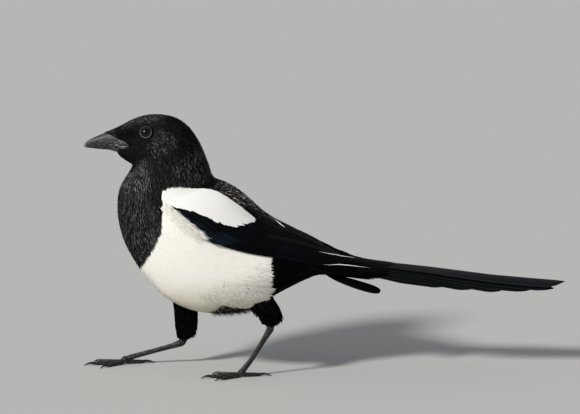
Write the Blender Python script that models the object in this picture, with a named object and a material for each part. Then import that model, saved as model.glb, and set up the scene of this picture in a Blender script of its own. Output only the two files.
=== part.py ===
"""Eurasian magpie at life size, walking with its left side shown, as a still model.

The bird faces +X with its left side at +Y and stands on z = 0. Sizes are in millimetres and
are scaled to metres where a mesh is made, which also sets x = 0 half way along the bird.
"""
import math

import bmesh
import bpy
import numpy as np
from mathutils import Vector

MM = 0.001
GAP = 0.3
CUT_GAP = 0.35
MIDDLE_X = 1.3
SIDES = {"left": 1.0, "right": -1.0}

# Sections of the body from the root of the bill to the root of the tail. Each is an ellipse:
# its highest point (x, z), its lowest point (x, z) and its half width.
SECTIONS = (
    ((180.5, 217.0), (181.4, 195.7), 7.0),
    ((174.9, 220.4), (177.0, 191.0), 11.0),
    ((166.2, 225.0), (171.4, 187.2), 14.5),
    ((154.9, 228.4), (167.7, 184.6), 17.0),
    ((141.8, 228.8), (168.4, 181.0), 18.5),
    ((127.9, 225.2), (170.7, 177.0), 19.5),
    ((116.6, 216.1), (174.0, 172.1), 21.0),
    ((107.9, 201.9), (177.5, 165.9), 24.0),
    ((101.8, 186.8), (179.7, 158.3), 27.0),
    ((96.6, 173.0), (180.5, 148.5), 30.0),
    ((87.0, 168.7), (179.7, 135.2), 33.5),
    ((75.7, 162.3), (175.7, 119.2), 36.5),
    ((64.4, 153.0), (167.9, 102.7), 38.0),
    ((53.9, 143.2), (155.7, 84.5), 38.5),
    ((42.6, 135.2), (138.3, 66.3), 38.0),
    ((30.4, 129.0), (114.0, 55.1), 36.5),
    ((18.3, 122.7), (86.1, 52.9), 33.0),
    ((6.1, 116.1), (62.6, 57.8), 28.5),
    ((-5.2, 109.8), (47.9, 67.6), 23.0),
    ((-14.8, 105.1), (30.4, 77.8), 18.5),
    ((-23.5, 102.9), (14.8, 85.4), 16.0),
    ((-33.9, 101.0), (2.6, 86.9), 15.0),
    ((-47.9, 98.7), (-17.4, 84.9), 14.5),
    ((-65.2, 96.5), (-46.1, 81.4), 15.0),
)
HEAD_END = 5.2
NECK_END = 8.3
TORSO_END = 20.0
TAIL_CORE_END = 22.4
BODY_SIDES = 28

# Bill: x, top of the ridge, line of the mouth, lower edge, half width.
BILL = (
    (181.4, 216.4, 202.1, 196.0, 6.6),
    (187.1, 214.3, 201.4, 197.6, 5.5),
    (194.0, 211.7, 201.0, 198.2, 4.3),
    (203.6, 207.2, 200.7, 199.2, 2.3),
    (207.9, 204.0, 200.6, 199.9, 1.0),
    (209.5, 201.6, 200.5, 200.2, 0.3),
)
LOWER_BILL_END = 208.2
BILL_STEPS = 3
BILL_SIDES = 8
MOUTH_LINE = ((0.1, 103.0), (0.9, 98.0), (2.0, 94.5))
MOUTH_LINE_HEIGHT = 0.5
MOUTH_LINE_DEPTH = 0.8

EYE_PLACE = (3.34, 63.4)
EYEBALL_RADIUS = 6.5
EYE_OPENING = 4.75
LID_RADIUS = 5.25
LID_THICKNESS = 0.75
LID_LIFT = 0.15

# Folded wing on the body's side: place along the body, angle of its upper edge and of its
# lower edge from the middle of the back.
WING_EDGES = (
    (8.6, 72.0, 91.0),
    (9.2, 52.0, 93.0),
    (10.2, 41.0, 89.0),
    (11.0, 37.0, 86.0),
    (12.0, 33.0, 82.5),
    (12.8, 29.0, 77.5),
    (13.8, 24.0, 68.0),
    (14.8, 19.0, 62.0),
    (15.5, 17.0, 59.5),
    (16.5, 15.0, 58.0),
    (17.7, 16.0, 59.0),
    (19.2, 22.0, 64.0),
    (20.4, 30.0, 68.0),
    (21.4, 38.0, 66.0),
    (22.3, 48.0, 58.0),
)
WING_CORE_END = 13.3
WING_CORE_RINGS = 12
WING_ACROSS = 6
WING_DEPTH = 2.5
WING_THICK = 3.4
WING_THICK_UNTIL = 12.3
WING_CORE_TIP = 0.5

# Flight feathers of one wing, from the lower edge upwards: primaries, secondaries, tertials.
# The primaries fan out from the fan's start to its end. Lift is the height of a vane's hidden
# upper edge over the body, and rise what its lower edge, which shows, lies higher.
VANE_THICKNESS = 0.5
FLIGHT_TIPS = (19.3, 20.9, 22.3, 17.4, 17.9, 18.3, 18.6, 15.8, 16.9)
FLIGHT_FEATHERS = len(FLIGHT_TIPS)
PRIMARIES = 3
TERTIALS = 2
FLIGHT_BREADTH = 9.0
TERTIAL_BREADTH = 12.0
FLIGHT_ROOM = 0.62
LOWEST_EDGE = 0.1
FAN_START = 17.4
FAN_END = 20.4
FLIGHT_PLACES = (11.7, 13.0, 14.4, 16.0, 17.8, 19.4, 20.6)
FLIGHT_LIFT = 0.6
FLIGHT_RISE = 2.6
FLIGHT_TIP_SHAPE = ((-0.9, 1.0), (-0.3, 0.66), (0.0, 0.16))

# Rows of coverts and scapulars: the number of vanes, where the first and the last start and
# end along the body, the shares of the wing's breadth at which they lie, then their breadth,
# lift and rise.
COVERT_ROWS = (
    ("primary coverts", 2, (10.6, 10.9), (12.9, 13.3), (0.07, 0.20), 7.0, 3.6, 1.0),
    ("greater coverts", 4, (11.1, 11.5), (13.8, 14.5), (0.32, 0.80), 7.5, 3.6, 1.0),
    ("alula", 2, (9.7, 9.9), (11.9, 12.1), (0.04, 0.16), 5.5, 4.9, 0.8),
    ("median coverts", 3, (10.2, 10.5), (12.1, 12.7), (0.28, 0.56), 7.0, 5.0, 0.8),
)
SCAPULAR_ROWS = (
    ("long scapulars", 4, (10.7, 11.0), (12.7, 13.2), (0.42, 0.88), 10.0, 5.6, 0.9),
    ("middle scapulars", 3, (9.6, 9.8), (11.5, 11.9), (0.42, 0.86), 14.0, 6.7, 0.9),
    ("short scapulars", 3, (8.8, 8.9), (10.1, 10.5), (0.22, 0.84), 13.0, 4.4, 0.9),
)
COVERT_SHAPE = ((0.0, 0.75), (0.5, 1.0), (0.86, 0.66), (1.0, 0.2))
COVERT_SUNK = 0.35
SINK = 2.2

# Tail: the height of its ridge and how much it bows down to the sides, per mm squared.
TAIL_RIDGE = ((-25.0, 101.6), (-50.0, 97.6), (-90.0, 93.0), (-145.0, 86.2), (-180.0, 83.0),
              (-209.0, 80.6))
TAIL_BOW = ((-25.0, 0.036), (-50.0, 0.034), (-90.0, 0.0125), (-145.0, 0.0095), (-209.0, 0.008))
TAIL_SPREAD = ((-25.0, 0.50), (-40.0, 0.60), (-65.0, 0.84), (-95.0, 1.0), (-209.0, 1.0))
TAIL_CORE_SHRINK = (0.0, 0.1, 0.6, 2.2, 5.6)
TAIL_PAIRS = 6
TAIL_TIPS = (-209.0, -199.0, -181.0, -157.0, -131.0, -106.0)
TAIL_PLACES = (-27.0, -42.0, -62.0, -90.0, -120.0, -150.0)
CENTRAL_HALF_WIDTH = 12.5
TAIL_STEP_OUT = 1.9
TAIL_INNER_EDGE = 1.0
TAIL_LAYER = 1.15
RECTRIX_THICKNESS = 0.6
TAIL_TIP_SHAPE = ((-24.0, 1.0), (-11.0, 0.86), (-3.5, 0.55), (0.0, 0.16))
TAIL_TIP_ROOM = 34.0
TOP_PAIR_OFFSET = 0.5
SECOND_TIP_SHORTER = 2.5

# The outer tail feather that hangs loose: x, y, z of its middle line and its breadth.
LOOSE_FEATHER = (
    (0.5, 5.2, 90.2, 5.0),
    (-10.0, 6.5, 85.2, 9.0),
    (-26.0, 7.4, 79.8, 12.0),
    (-40.0, 7.9, 75.6, 11.0),
    (-46.0, 8.0, 73.8, 7.0),
    (-48.6, 8.0, 73.0, 2.0),
)
LOOSE_FEATHER_TILT = 38.0

# Thighs, from inside the body to the heel: x, y, z, half depth fore and aft, half width.
THIGHS = {
    "left": (
        (66.0, 14.0, 88.0, 11.0, 8.0),
        (60.0, 20.0, 76.0, 13.0, 9.5),
        (53.0, 23.0, 63.0, 13.0, 9.0),
        (49.2, 23.0, 57.0, 11.3, 7.6),
        (48.3, 23.0, 51.0, 8.4, 5.8),
        (48.0, 23.0, 46.3, 3.6, 3.2),
    ),
    "right": (
        (126.0, 15.0, 84.0, 11.0, 8.0),
        (124.0, 21.0, 70.0, 12.0, 9.5),
        (122.2, 24.0, 54.0, 10.8, 8.6),
        (121.6, 25.0, 40.0, 10.4, 7.6),
        (122.0, 25.5, 30.0, 8.8, 6.2),
        (124.5, 26.0, 23.0, 3.8, 3.4),
    ),
}
THIGH_STEPS = 3
THIGH_SIDES = 14

# Shanks, from the heel to the foot: x, y, z, radius.
SHANKS = {
    "left": (
        (48.0, 23.0, 46.0, 3.0),
        (47.9, 23.0, 43.4, 3.1),
        (49.4, 23.0, 40.2, 2.7),
        (54.0, 22.8, 32.4, 2.15),
        (64.0, 22.4, 16.0, 2.05),
        (69.6, 22.1, 8.6, 2.3),
    ),
    "right": (
        (124.5, 26.0, 22.7, 3.2),
        (125.4, 26.0, 20.4, 3.2),
        (128.4, 26.0, 18.6, 2.8),
        (137.0, 26.2, 15.8, 2.15),
        (158.0, 26.7, 9.9, 2.05),
        (168.4, 27.0, 6.9, 2.2),
    ),
}
SHANK_STEPS = 3
SHANK_SIDES = 10

# Feet: x, y, z of the joint of the toes, and how far the middle toe turns outwards, in degrees.
FEET = {"left": (72.6, 22.0, 4.3, 10.0), "right": (175.4, 27.2, 4.2, -10.0)}
FOOT_BALL = 3.3
# Toes: heading in degrees from the middle toe (positive turns outwards), length, radius, claw.
TOES = {
    "inner": (-30.0, 20.0, 2.0, 8.0),
    "middle": (0.0, 27.0, 2.2, 9.5),
    "outer": (26.0, 21.0, 2.0, 8.0),
    "hind": (180.0, 16.0, 2.1, 11.0),
}
TOE_RINGS = 6
TOE_TIP = 0.72
TOE_SOLE = 0.62
CLAW_RADIUS = 1.25
CLAW_TIP = 0.25
CLAW_SIDES = 6
CLAW_LINE = ((0.0, 1.75), (0.3, 2.2), (0.6, 1.8), (0.86, 0.75), (1.0, 0.12))


def in_metres(point):
    return Vector((point[0] - MIDDLE_X, point[1], point[2])) * MM


def clear_scene():
    for thing in list(bpy.data.objects):
        bpy.data.objects.remove(thing)


def make_collection(name):
    made = bpy.data.collections.new(name)
    bpy.context.scene.collection.children.link(made)
    return made


def make_material(name, colour, roughness, metallic=0.0):
    made = bpy.data.materials.new(name)
    made.use_nodes = True
    shader = made.node_tree.nodes["Principled BSDF"]
    shader.inputs["Base Color"].default_value = (*colour, 1.0)
    shader.inputs["Roughness"].default_value = roughness
    shader.inputs["Metallic"].default_value = metallic
    return made


def through(points, steps):
    """Rows of numbers on a smooth curve through the given rows."""
    rows = np.array(points, float)
    last = len(rows) - 1
    return [along(rows, i / steps) for i in range(last * steps + 1)]


def along(rows, place):
    """The row at a place on a Catmull-Rom curve, where row i lies at place i."""
    last = len(rows) - 1
    i = min(int(max(place, 0.0)), last - 1)
    f = min(max(place - i, 0.0), 1.0)
    a, b, c, d = rows[max(i - 1, 0)], rows[i], rows[i + 1], rows[min(i + 2, last)]
    return 0.5 * (2 * b + (c - a) * f + (2 * a - 5 * b + 4 * c - d) * f * f
                  + (3 * b - a - 3 * c + d) * f ** 3)


SECTION_ROWS = np.array([(*top, *low, width) for top, low, width in SECTIONS])


def body_point(place, angle, lift=0.0):
    """A point on the body: place counts sections from the bill, angle is in degrees from the back."""
    def bare(t, degrees):
        top_x, top_z, low_x, low_z, width = along(SECTION_ROWS, t)
        turn = math.radians(degrees)
        share = (1 + math.cos(turn)) / 2
        return np.array((low_x + (top_x - low_x) * share, width * math.sin(turn),
                         low_z + (top_z - low_z) * share))

    point = bare(place, angle)
    if lift:
        step = 0.02
        forward = bare(place + step, angle) - bare(place - step, angle)
        around = bare(place, angle + 1) - bare(place, angle - 1)
        normal = np.cross(forward, around)
        point = point + normal / np.linalg.norm(normal) * -lift
    return point


def body_ring(place, lift=0.0, shift=0.0):
    """A whole section of the body, moved by shift towards the tail at right angles to itself."""
    top_x, top_z, low_x, low_z, _ = along(SECTION_ROWS, place)
    back = np.array((-(top_z - low_z), 0.0, top_x - low_x))
    back = back / np.linalg.norm(back)
    angles = (360.0 * i / BODY_SIDES for i in range(BODY_SIDES))
    return [body_point(place, a, lift) + back * shift for a in angles]


def loft(rings):
    """A closed bmesh through rings of points; a ring of one point closes to a tip."""
    made = bmesh.new()
    rows = [[made.verts.new(in_metres(p)) for p in ring] for ring in rings]
    for one, two in zip(rows, rows[1:]):
        count = max(len(one), len(two))
        for i in range(count):
            j = (i + 1) % count
            if len(two) == 1:
                made.faces.new((one[i], one[j], two[0]))
            elif len(one) == 1:
                made.faces.new((one[0], two[j], two[i]))
            else:
                made.faces.new((one[i], one[j], two[j]))
                made.faces.new((one[i], two[j], two[i]))
    for row in (rows[0], rows[-1]):
        if len(row) > 2:
            made.faces.new(row)
    bmesh.ops.recalc_face_normals(made, faces=made.faces)
    return made


def body_loft(start, end, rings, lift=0.0, shift=0.0):
    places = [start + (end - start) * i / (rings - 1) for i in range(rings)]
    made = [body_ring(t, lift) for t in places]
    made[0] = body_ring(start, lift, shift)
    return loft(made)


def tube(path, sides, start=None):
    """A closed bmesh round a path of (x, y, z, radius); start is the first ring's own direction."""
    points = [np.array(p[:3]) for p in path]
    rings = []
    for i, row in enumerate(path):
        ahead = points[min(i + 1, len(points) - 1)] - points[max(i - 1, 0)]
        if i == 0 and start is not None:
            ahead = np.array(start, float)
        ahead = ahead / np.linalg.norm(ahead)
        across = np.cross(ahead, (0.0, 1.0, 0.0))
        across = across / np.linalg.norm(across)
        other = np.cross(ahead, across)
        turns = (2 * math.pi * k / sides for k in range(sides))
        rings.append([points[i] + row[3] * (across * math.cos(a) + other * math.sin(a))
                      for a in turns])
    return loft(rings)


def add_object(name, made, material, group):
    mesh = bpy.data.meshes.new(name)
    made.to_mesh(mesh)
    made.free()
    mesh.materials.append(material)
    thing = bpy.data.objects.new(name, mesh)
    group.objects.link(thing)
    mesh.shade_smooth()
    mesh.set_sharp_from_angle(angle=math.radians(40))
    return thing


def bake(thing):
    """Applies the object's modifiers."""
    graph = bpy.context.evaluated_depsgraph_get()
    mesh = bpy.data.meshes.new_from_object(thing.evaluated_get(graph))
    thing.modifiers.clear()
    thing.data = mesh
    keep_largest(thing)


def keep_largest(thing):
    """Leaves the object only its largest closed surface."""
    made = bmesh.new()
    made.from_mesh(thing.data)
    left = set(made.faces)
    best, best_size = None, -1.0
    while left:
        seed = left.pop()
        patch, edge = {seed}, [seed]
        while edge:
            for side in edge.pop().edges:
                for face in side.link_faces:
                    if face in left:
                        left.discard(face)
                        patch.add(face)
                        edge.append(face)
        size = sum(face.calc_area() for face in patch)
        if size > best_size:
            best, best_size = patch, size
    bmesh.ops.delete(made, geom=[f for f in made.faces if f not in best], context="FACES")
    made.to_mesh(thing.data)
    made.free()


def fuse(thing, pieces):
    """Joins closed pieces to an object by one union."""
    group = bpy.data.collections.new("joining")
    bpy.context.scene.collection.children.link(group)
    for i, piece in enumerate(pieces):
        mesh = bpy.data.meshes.new(f"joining_{i}")
        piece.to_mesh(mesh)
        piece.free()
        group.objects.link(bpy.data.objects.new(f"joining_{i}", mesh))
    union = thing.modifiers.new("union", "BOOLEAN")
    union.operation = "UNION"
    union.operand_type = "COLLECTION"
    union.collection = group
    bake(thing)
    for piece in list(group.objects):
        bpy.data.objects.remove(piece)
    bpy.data.collections.remove(group)


def cut(thing, *cutters):
    for cutter in cutters:
        difference = thing.modifiers.new("cut", "BOOLEAN")
        difference.operation = "DIFFERENCE"
        difference.object = cutter
    bake(thing)


def add_cutter(name, made, group):
    mesh = bpy.data.meshes.new(name)
    made.to_mesh(mesh)
    made.free()
    thing = bpy.data.objects.new(name, mesh)
    thing.hide_render = True
    thing.display_type = "WIRE"
    group.objects.link(thing)
    return thing


def ball(centre, radius, across=14, rows=8):
    made = bmesh.new()
    bmesh.ops.create_uvsphere(made, u_segments=across, v_segments=rows, radius=radius * MM)
    bmesh.ops.translate(made, verts=made.verts, vec=in_metres(centre))
    return made


def eye_frame(side):
    """The middle of the eye's opening and the direction in which the eye looks."""
    flip = np.array((1.0, side, 1.0))
    point = body_point(*EYE_PLACE) * flip
    out = body_point(*EYE_PLACE, lift=1.0) * flip - point
    return point, out


def eyeball_centre(side):
    point, out = eye_frame(side)
    return point - out * (math.sqrt(EYEBALL_RADIUS ** 2 - EYE_OPENING ** 2) - LID_LIFT)


def lid_ring(side):
    """The rim of bare skin round the eye, a turned ring with a round section."""
    point, out = eye_frame(side)
    across = np.cross(out, (0.0, 0.0, 1.0))
    across = across / np.linalg.norm(across)
    up = np.cross(across, out)
    around, section = 18, 5
    made = bmesh.new()
    rows = []
    for i in range(around):
        turn = 2 * math.pi * i / around
        ray = across * math.cos(turn) + up * math.sin(turn)
        row = []
        for k in range(section):
            roll = 2 * math.pi * k / section
            reach = LID_RADIUS + LID_THICKNESS * math.cos(roll)
            place = point + ray * reach + out * (LID_LIFT + LID_THICKNESS * math.sin(roll))
            row.append(made.verts.new(in_metres(place)))
        rows.append(row)
    for i in range(around):
        one, two = rows[i], rows[(i + 1) % around]
        for k in range(section):
            j = (k + 1) % section
            made.faces.new((one[k], one[j], two[j], two[k]))
    bmesh.ops.recalc_face_normals(made, faces=made.faces)
    return made


def mouth_groove(side):
    """A thin curved wedge that draws the line of the mouth back to the cheek."""
    rings = []
    for place, angle in through(MOUTH_LINE, 3):
        flip = np.array((1.0, side, 1.0))
        inner = body_point(place, angle, -MOUTH_LINE_DEPTH) * flip
        outer = body_point(place, angle, 1.5) * flip
        up = np.array((0.0, 0.0, MOUTH_LINE_HEIGHT / 2))
        rings.append([inner + up, outer + up, outer - up, inner - up])
    return loft(rings)


def build_head(group, cutters, looks):
    head = add_object("head", body_loft(0.0, HEAD_END, 18), looks["black_feathers"], group)
    fuse(head, [lid_ring(side) for side in SIDES.values()])
    tools = []
    for word, side in SIDES.items():
        eye = add_object(f"eye_{word}", ball(eyeball_centre(side), EYEBALL_RADIUS),
                         looks["eye"], group)
        eye.data.shade_smooth()
        socket = ball(eyeball_centre(side), EYEBALL_RADIUS + CUT_GAP)
        tools.append(add_cutter(f"socket_{word}", socket, cutters))
        tools.append(add_cutter(f"mouth_{word}", mouth_groove(side), cutters))
    cut(head, *tools)


def bill_ring(row, upper):
    """Half of the bill's section: a dome over the mouth line, or a keel below it."""
    x, ridge, mouth, low, width = row
    tip = ridge if upper else low
    base = mouth + (GAP / 2 if upper else -GAP / 2)
    turns = (math.pi * k / BILL_SIDES for k in range(BILL_SIDES + 1))
    ring = []
    for turn in turns:
        rise = math.sin(turn) ** 0.85
        ring.append((x, width * math.cos(turn), base + (tip - base) * rise))
    return ring


def lean_to_head(ring):
    """Shears the first ring on to the slanting face of the head, with a gap."""
    top, low = np.array(SECTIONS[0][0]), np.array(SECTIONS[0][1])
    slope = (low[0] - top[0]) / (low[1] - top[1])
    return [(top[0] + slope * (z - top[1]) + GAP, y, z) for _, y, z in ring]


def build_bill(group, looks):
    rows = through(BILL, BILL_STEPS)
    for name, upper in (("bill_upper", True), ("bill_lower", False)):
        used = [r for r in rows if upper or r[0] <= LOWER_BILL_END]
        rings = [bill_ring(r, upper) for r in used]
        rings[0] = lean_to_head(rings[0])
        add_object(name, loft(rings), looks["bill_horn"], group)


def wing_edges(place):
    rows = np.array(WING_EDGES)
    return (np.interp(place, rows[:, 0], rows[:, 1]), np.interp(place, rows[:, 0], rows[:, 2]))


def ramp(value, start, end):
    share = min(max((value - start) / (end - start), 0.0), 1.0)
    return share * share * (3 - 2 * share)


def wing_point(place, share, lift, side):
    """A point on the folded wing: share runs from its lower edge, 0, to its upper edge, 1."""
    high, low = wing_edges(place)
    x, y, z = body_point(place, low + (high - low) * share, lift)
    return np.array((x, side * y, z))


def wing_breadth(place):
    return np.linalg.norm(wing_point(place, 1.0, 0.0, 1.0) - wing_point(place, 0.0, 0.0, 1.0))


def wing_core(side):
    """The fleshy front of the folded wing, in which every feather is rooted."""
    rings = []
    first = WING_EDGES[0][0]
    for i in range(WING_CORE_RINGS + 1):
        place = first + (WING_CORE_END - first) * i / WING_CORE_RINGS
        thick = WING_THICK + (WING_CORE_TIP - WING_THICK) * ramp(place, WING_THICK_UNTIL,
                                                                 WING_CORE_END)
        outer, inner = [], []
        for k in range(WING_ACROSS):
            share = k / (WING_ACROSS - 1)
            lift = WING_CORE_TIP + thick * math.sin(math.pi * share) ** 0.5
            outer.append(wing_point(place, share, lift, side))
            inner.append(wing_point(place, share, -WING_DEPTH, side))
        rings.append(outer + inner[::-1])
    return loft(rings)


def vane(rows):
    """A thin closed vane. Each row holds its section's upper points and then its lower ones."""
    made = bmesh.new()
    verts = [[made.verts.new(in_metres(p)) for p in (*upper, *lower)] for upper, lower in rows]
    count = len(rows[0][0])
    for one, two in zip(verts, verts[1:]):
        for k in range(count - 1):
            for a, b in ((k, k + 1), (count + k, count + k + 1)):
                made.faces.new((one[a], one[b], two[b]))
                made.faces.new((one[a], two[b], two[a]))
        for a, b in ((0, count), (count - 1, 2 * count - 1)):
            made.faces.new((one[a], one[b], two[b]))
            made.faces.new((one[a], two[b], two[a]))
    for end in (verts[0], verts[-1]):
        for k in range(count - 1):
            made.faces.new((end[k], end[k + 1], end[count + k + 1], end[count + k]))
    bmesh.ops.recalc_face_normals(made, faces=made.faces)
    return made


def wing_vane(stations, side):
    """A vane on the wing: rows of place, share, breadth, height of its hidden edge and rise."""
    rows = []
    for place, share, breadth, lift, rise in stations:
        half = breadth / 2 / wing_breadth(place)
        low, high = share - half, share + half
        upper = [wing_point(place, low, lift + rise + VANE_THICKNESS, side),
                 wing_point(place, high, lift + VANE_THICKNESS, side)]
        under = [wing_point(place, low, lift + rise, side), wing_point(place, high, lift, side)]
        rows.append((upper, under))
    return vane(rows)


def flight_vanes(side):
    """Primaries, secondaries and tertials, each laid over the upper part of the one below."""
    made = []
    for i, tip in enumerate(FLIGHT_TIPS):
        base = FLIGHT_BREADTH if i < FLIGHT_FEATHERS - TERTIALS else TERTIAL_BREADTH
        ends = [(tip + back, width) for back, width in FLIGHT_TIP_SHAPE]
        places = [(p, 1.0) for p in FLIGHT_PLACES if p < ends[0][0] - 0.3] + ends
        stations = []
        for place, width in places:
            spread = ramp(place, FAN_START, FAN_END) if i < PRIMARIES else 0.0
            count = FLIGHT_FEATHERS + (PRIMARIES - FLIGHT_FEATHERS) * spread
            room = wing_breadth(place)
            full = min(base, room * FLIGHT_ROOM)
            middle = (i + LOWEST_EDGE) / count + full / 2 / room
            stations.append((place, middle, full * width, FLIGHT_LIFT, FLIGHT_RISE * width))
        made.append(wing_vane(stations, side))
    return made


def covert_vanes(row, side):
    """One row of coverts or scapulars, rooted in the wing and laid over what lies behind."""
    _, count, starts, ends, shares, breadth, lift, rise = row
    made = []
    for i in range(count):
        part = i / (count - 1)
        start = starts[0] + (starts[1] - starts[0]) * part
        end = ends[0] + (ends[1] - ends[0]) * part
        middle = shares[0] + (shares[1] - shares[0]) * part
        stations = []
        for share, width in COVERT_SHAPE:
            place = start + (end - start) * share
            sunk = SINK * (1 - ramp(share, 0.0, COVERT_SUNK))
            stations.append((place, middle, breadth * width, lift - sunk, rise * width))
        made.append(wing_vane(stations, side))
    return made


def build_wings(group, torso_cutter, looks):
    for word, side in SIDES.items():
        wing = add_object(f"wing_{word}", wing_core(side), looks["black_feathers"], group)
        feathers = flight_vanes(side)
        for row in COVERT_ROWS + SCAPULAR_ROWS:
            feathers += covert_vanes(row, side)
        fuse(wing, feathers)
        cut(wing, torso_cutter)


def read_off(table, x):
    """A value at x from pairs of x and value, with x falling towards the tail's tip."""
    rows = np.array(table)[::-1]
    return np.interp(x, rows[:, 0], rows[:, 1])


def tail_vane(low_edge, high_edge, tip, depth):
    """A tail feather between two edges, at a depth under the tail's arched upper face."""
    places = [(x, 1.0) for x in TAIL_PLACES if x > tip + TAIL_TIP_ROOM]
    places += [(tip - back, width) for back, width in TAIL_TIP_SHAPE]
    rows = []
    for x, width in places:
        spread = read_off(TAIL_SPREAD, x)
        middle, half = (low_edge + high_edge) / 2, (high_edge - low_edge) / 2 * width
        upper, under = [], []
        for share in (-1.0, 0.0, 1.0):
            y = (middle + half * share) * spread
            z = read_off(TAIL_RIDGE, x) - read_off(TAIL_BOW, x) * y * y - depth
            upper.append((x, y, z))
            under.append((x, y, z - RECTRIX_THICKNESS))
        rows.append((upper, under))
    return vane(rows)


def loose_feather():
    """The outer tail feather that has dropped out of the closed tail, on the left."""
    tilt = math.radians(LOOSE_FEATHER_TILT)
    across = np.array((0.0, math.cos(tilt), -math.sin(tilt)))
    thick = np.array((0.0, math.sin(tilt), math.cos(tilt))) * RECTRIX_THICKNESS / 2
    rows = []
    for x, y, z, breadth in LOOSE_FEATHER:
        edges = [np.array((x, y, z)) + across * breadth / 2 * s for s in (-1.0, 1.0)]
        rows.append(([e + thick for e in edges], [e - thick for e in edges]))
    return vane(rows)


def tail_core():
    """The root of the tail with its coverts, which thin out over the tail feathers."""
    last = len(TAIL_CORE_SHRINK) - 1
    rings = []
    for i, shrink in enumerate(TAIL_CORE_SHRINK):
        place = TORSO_END + (TAIL_CORE_END - TORSO_END) * i / last
        rings.append(body_ring(place, -shrink, GAP if i == 0 else 0.0))
    return loft(rings)


def build_tail(group, looks):
    tail = add_object("tail", tail_core(), looks["black_feathers"], group)
    feathers = [loose_feather()]
    wide = CENTRAL_HALF_WIDTH
    aside = TOP_PAIR_OFFSET
    feathers.append(tail_vane(aside - wide, wide + aside, TAIL_TIPS[0], 0.0))
    second_tip = TAIL_TIPS[0] + SECOND_TIP_SHORTER
    feathers.append(tail_vane(-wide - aside, wide - aside, second_tip, TAIL_LAYER))
    for pair in range(1, TAIL_PAIRS):
        outer = wide + TAIL_STEP_OUT * pair
        depth = TAIL_LAYER * (pair + 1)
        for low, high in ((TAIL_INNER_EDGE, outer), (-outer, -TAIL_INNER_EDGE)):
            feathers.append(tail_vane(low, high, TAIL_TIPS[pair], depth))
    fuse(tail, feathers)


def thigh_loft(rows, side):
    rings = []
    for x, y, z, depth, width in through(rows, THIGH_STEPS):
        turns = (2 * math.pi * k / THIGH_SIDES for k in range(THIGH_SIDES))
        rings.append([(x + depth * math.cos(a), side * (y + width * math.sin(a)), z)
                      for a in turns])
    return loft(rings)


def shank_path(word):
    side = SIDES[word]
    return [(x, side * y, z, r) for x, y, z, r in through(SHANKS[word], SHANK_STEPS)]


def build_legs(group, torso_cutter, looks):
    for word, side in SIDES.items():
        thigh = add_object(f"thigh_{word}", thigh_loft(THIGHS[word], side),
                           looks["black_feathers"], group)
        cut(thigh, torso_cutter)
        add_object(f"shank_{word}", tube(shank_path(word), SHANK_SIDES, start=(0, 0, -1)),
                   looks["leg_skin"], group)


def toe_loft(start, heading, length, radius):
    """A toe with a flat sole on the floor, which swells a little at each joint."""
    ahead = np.array((math.cos(heading), math.sin(heading), 0.0))
    across = np.array((-ahead[1], ahead[0], 0.0))
    rings = []
    for i in range(TOE_RINGS):
        share = i / (TOE_RINGS - 1)
        size = radius * (1 - (1 - TOE_TIP) * share) * (1.06 if i % 2 else 0.96)
        sole = start[2] - radius if i == 0 else 0.0
        centre = np.array((start[0], start[1], 0.0)) + ahead * length * share
        outline = ((TOE_SOLE, 0.0), (1.0, 0.8), (0.8, 1.6), (0.0, 2.0),
                   (-0.8, 1.6), (-1.0, 0.8), (-TOE_SOLE, 0.0))
        rings.append([centre + across * a * size + np.array((0, 0, sole + b * size))
                      for a, b in outline])
    return loft(rings)


def claw_tube(start, heading, length):
    """A claw that curves down to the floor, where its tip has a small flat."""
    ahead = np.array((math.cos(heading), math.sin(heading)))
    path = []
    for share, height in CLAW_LINE:
        radius = max(CLAW_RADIUS * (1 - share ** 1.3), CLAW_TIP)
        path.append((start[0] + ahead[0] * length * share, start[1] + ahead[1] * length * share,
                     height, radius))
    points = [np.array(p[:3]) for p in path]
    rings = []
    for i, row in enumerate(path):
        run = points[min(i + 1, len(points) - 1)] - points[max(i - 1, 0)]
        if i == 0:
            run = np.array((ahead[0], ahead[1], 0.0))
        run = run / np.linalg.norm(run)
        across = np.array((-ahead[1], ahead[0], 0.0))
        other = np.cross(run, across)
        turns = (2 * math.pi * k / CLAW_SIDES for k in range(CLAW_SIDES))
        ring = [points[i] + row[3] * (across * math.cos(a) + other * math.sin(a)) for a in turns]
        rings.append([(x, y, max(z, 0.0)) for x, y, z in ring])
    return loft(rings)


def build_feet(group, looks):
    for word, side in SIDES.items():
        x, y, z, foot_turn = FEET[word]
        joint = np.array((x, side * y, z))
        last, before = (np.array(p[:3]) for p in shank_path(word)[:-3:-1])
        axis = (last - before) / np.linalg.norm(last - before)
        pieces = []
        for toe, (turn, length, radius, claw) in TOES.items():
            heading = math.radians(turn + foot_turn) * side
            pieces.append(toe_loft(joint, heading, length, radius))
            reach = length + GAP
            root = (joint[0] + math.cos(heading) * reach, joint[1] + math.sin(heading) * reach)
            add_object(f"claw_{toe}_{word}", claw_tube(root, heading, claw),
                       looks["claw_horn"], group)
        stub_end = last + axis * GAP
        pieces.append(tube([(*stub_end, 2.2), (*(stub_end + (joint - stub_end) * 0.5), 2.5),
                            (*joint, 2.6)], SHANK_SIDES, start=axis))
        foot = add_object(f"foot_{word}", ball(joint, FOOT_BALL, 12, 8), looks["leg_skin"], group)
        fuse(foot, pieces)


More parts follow.
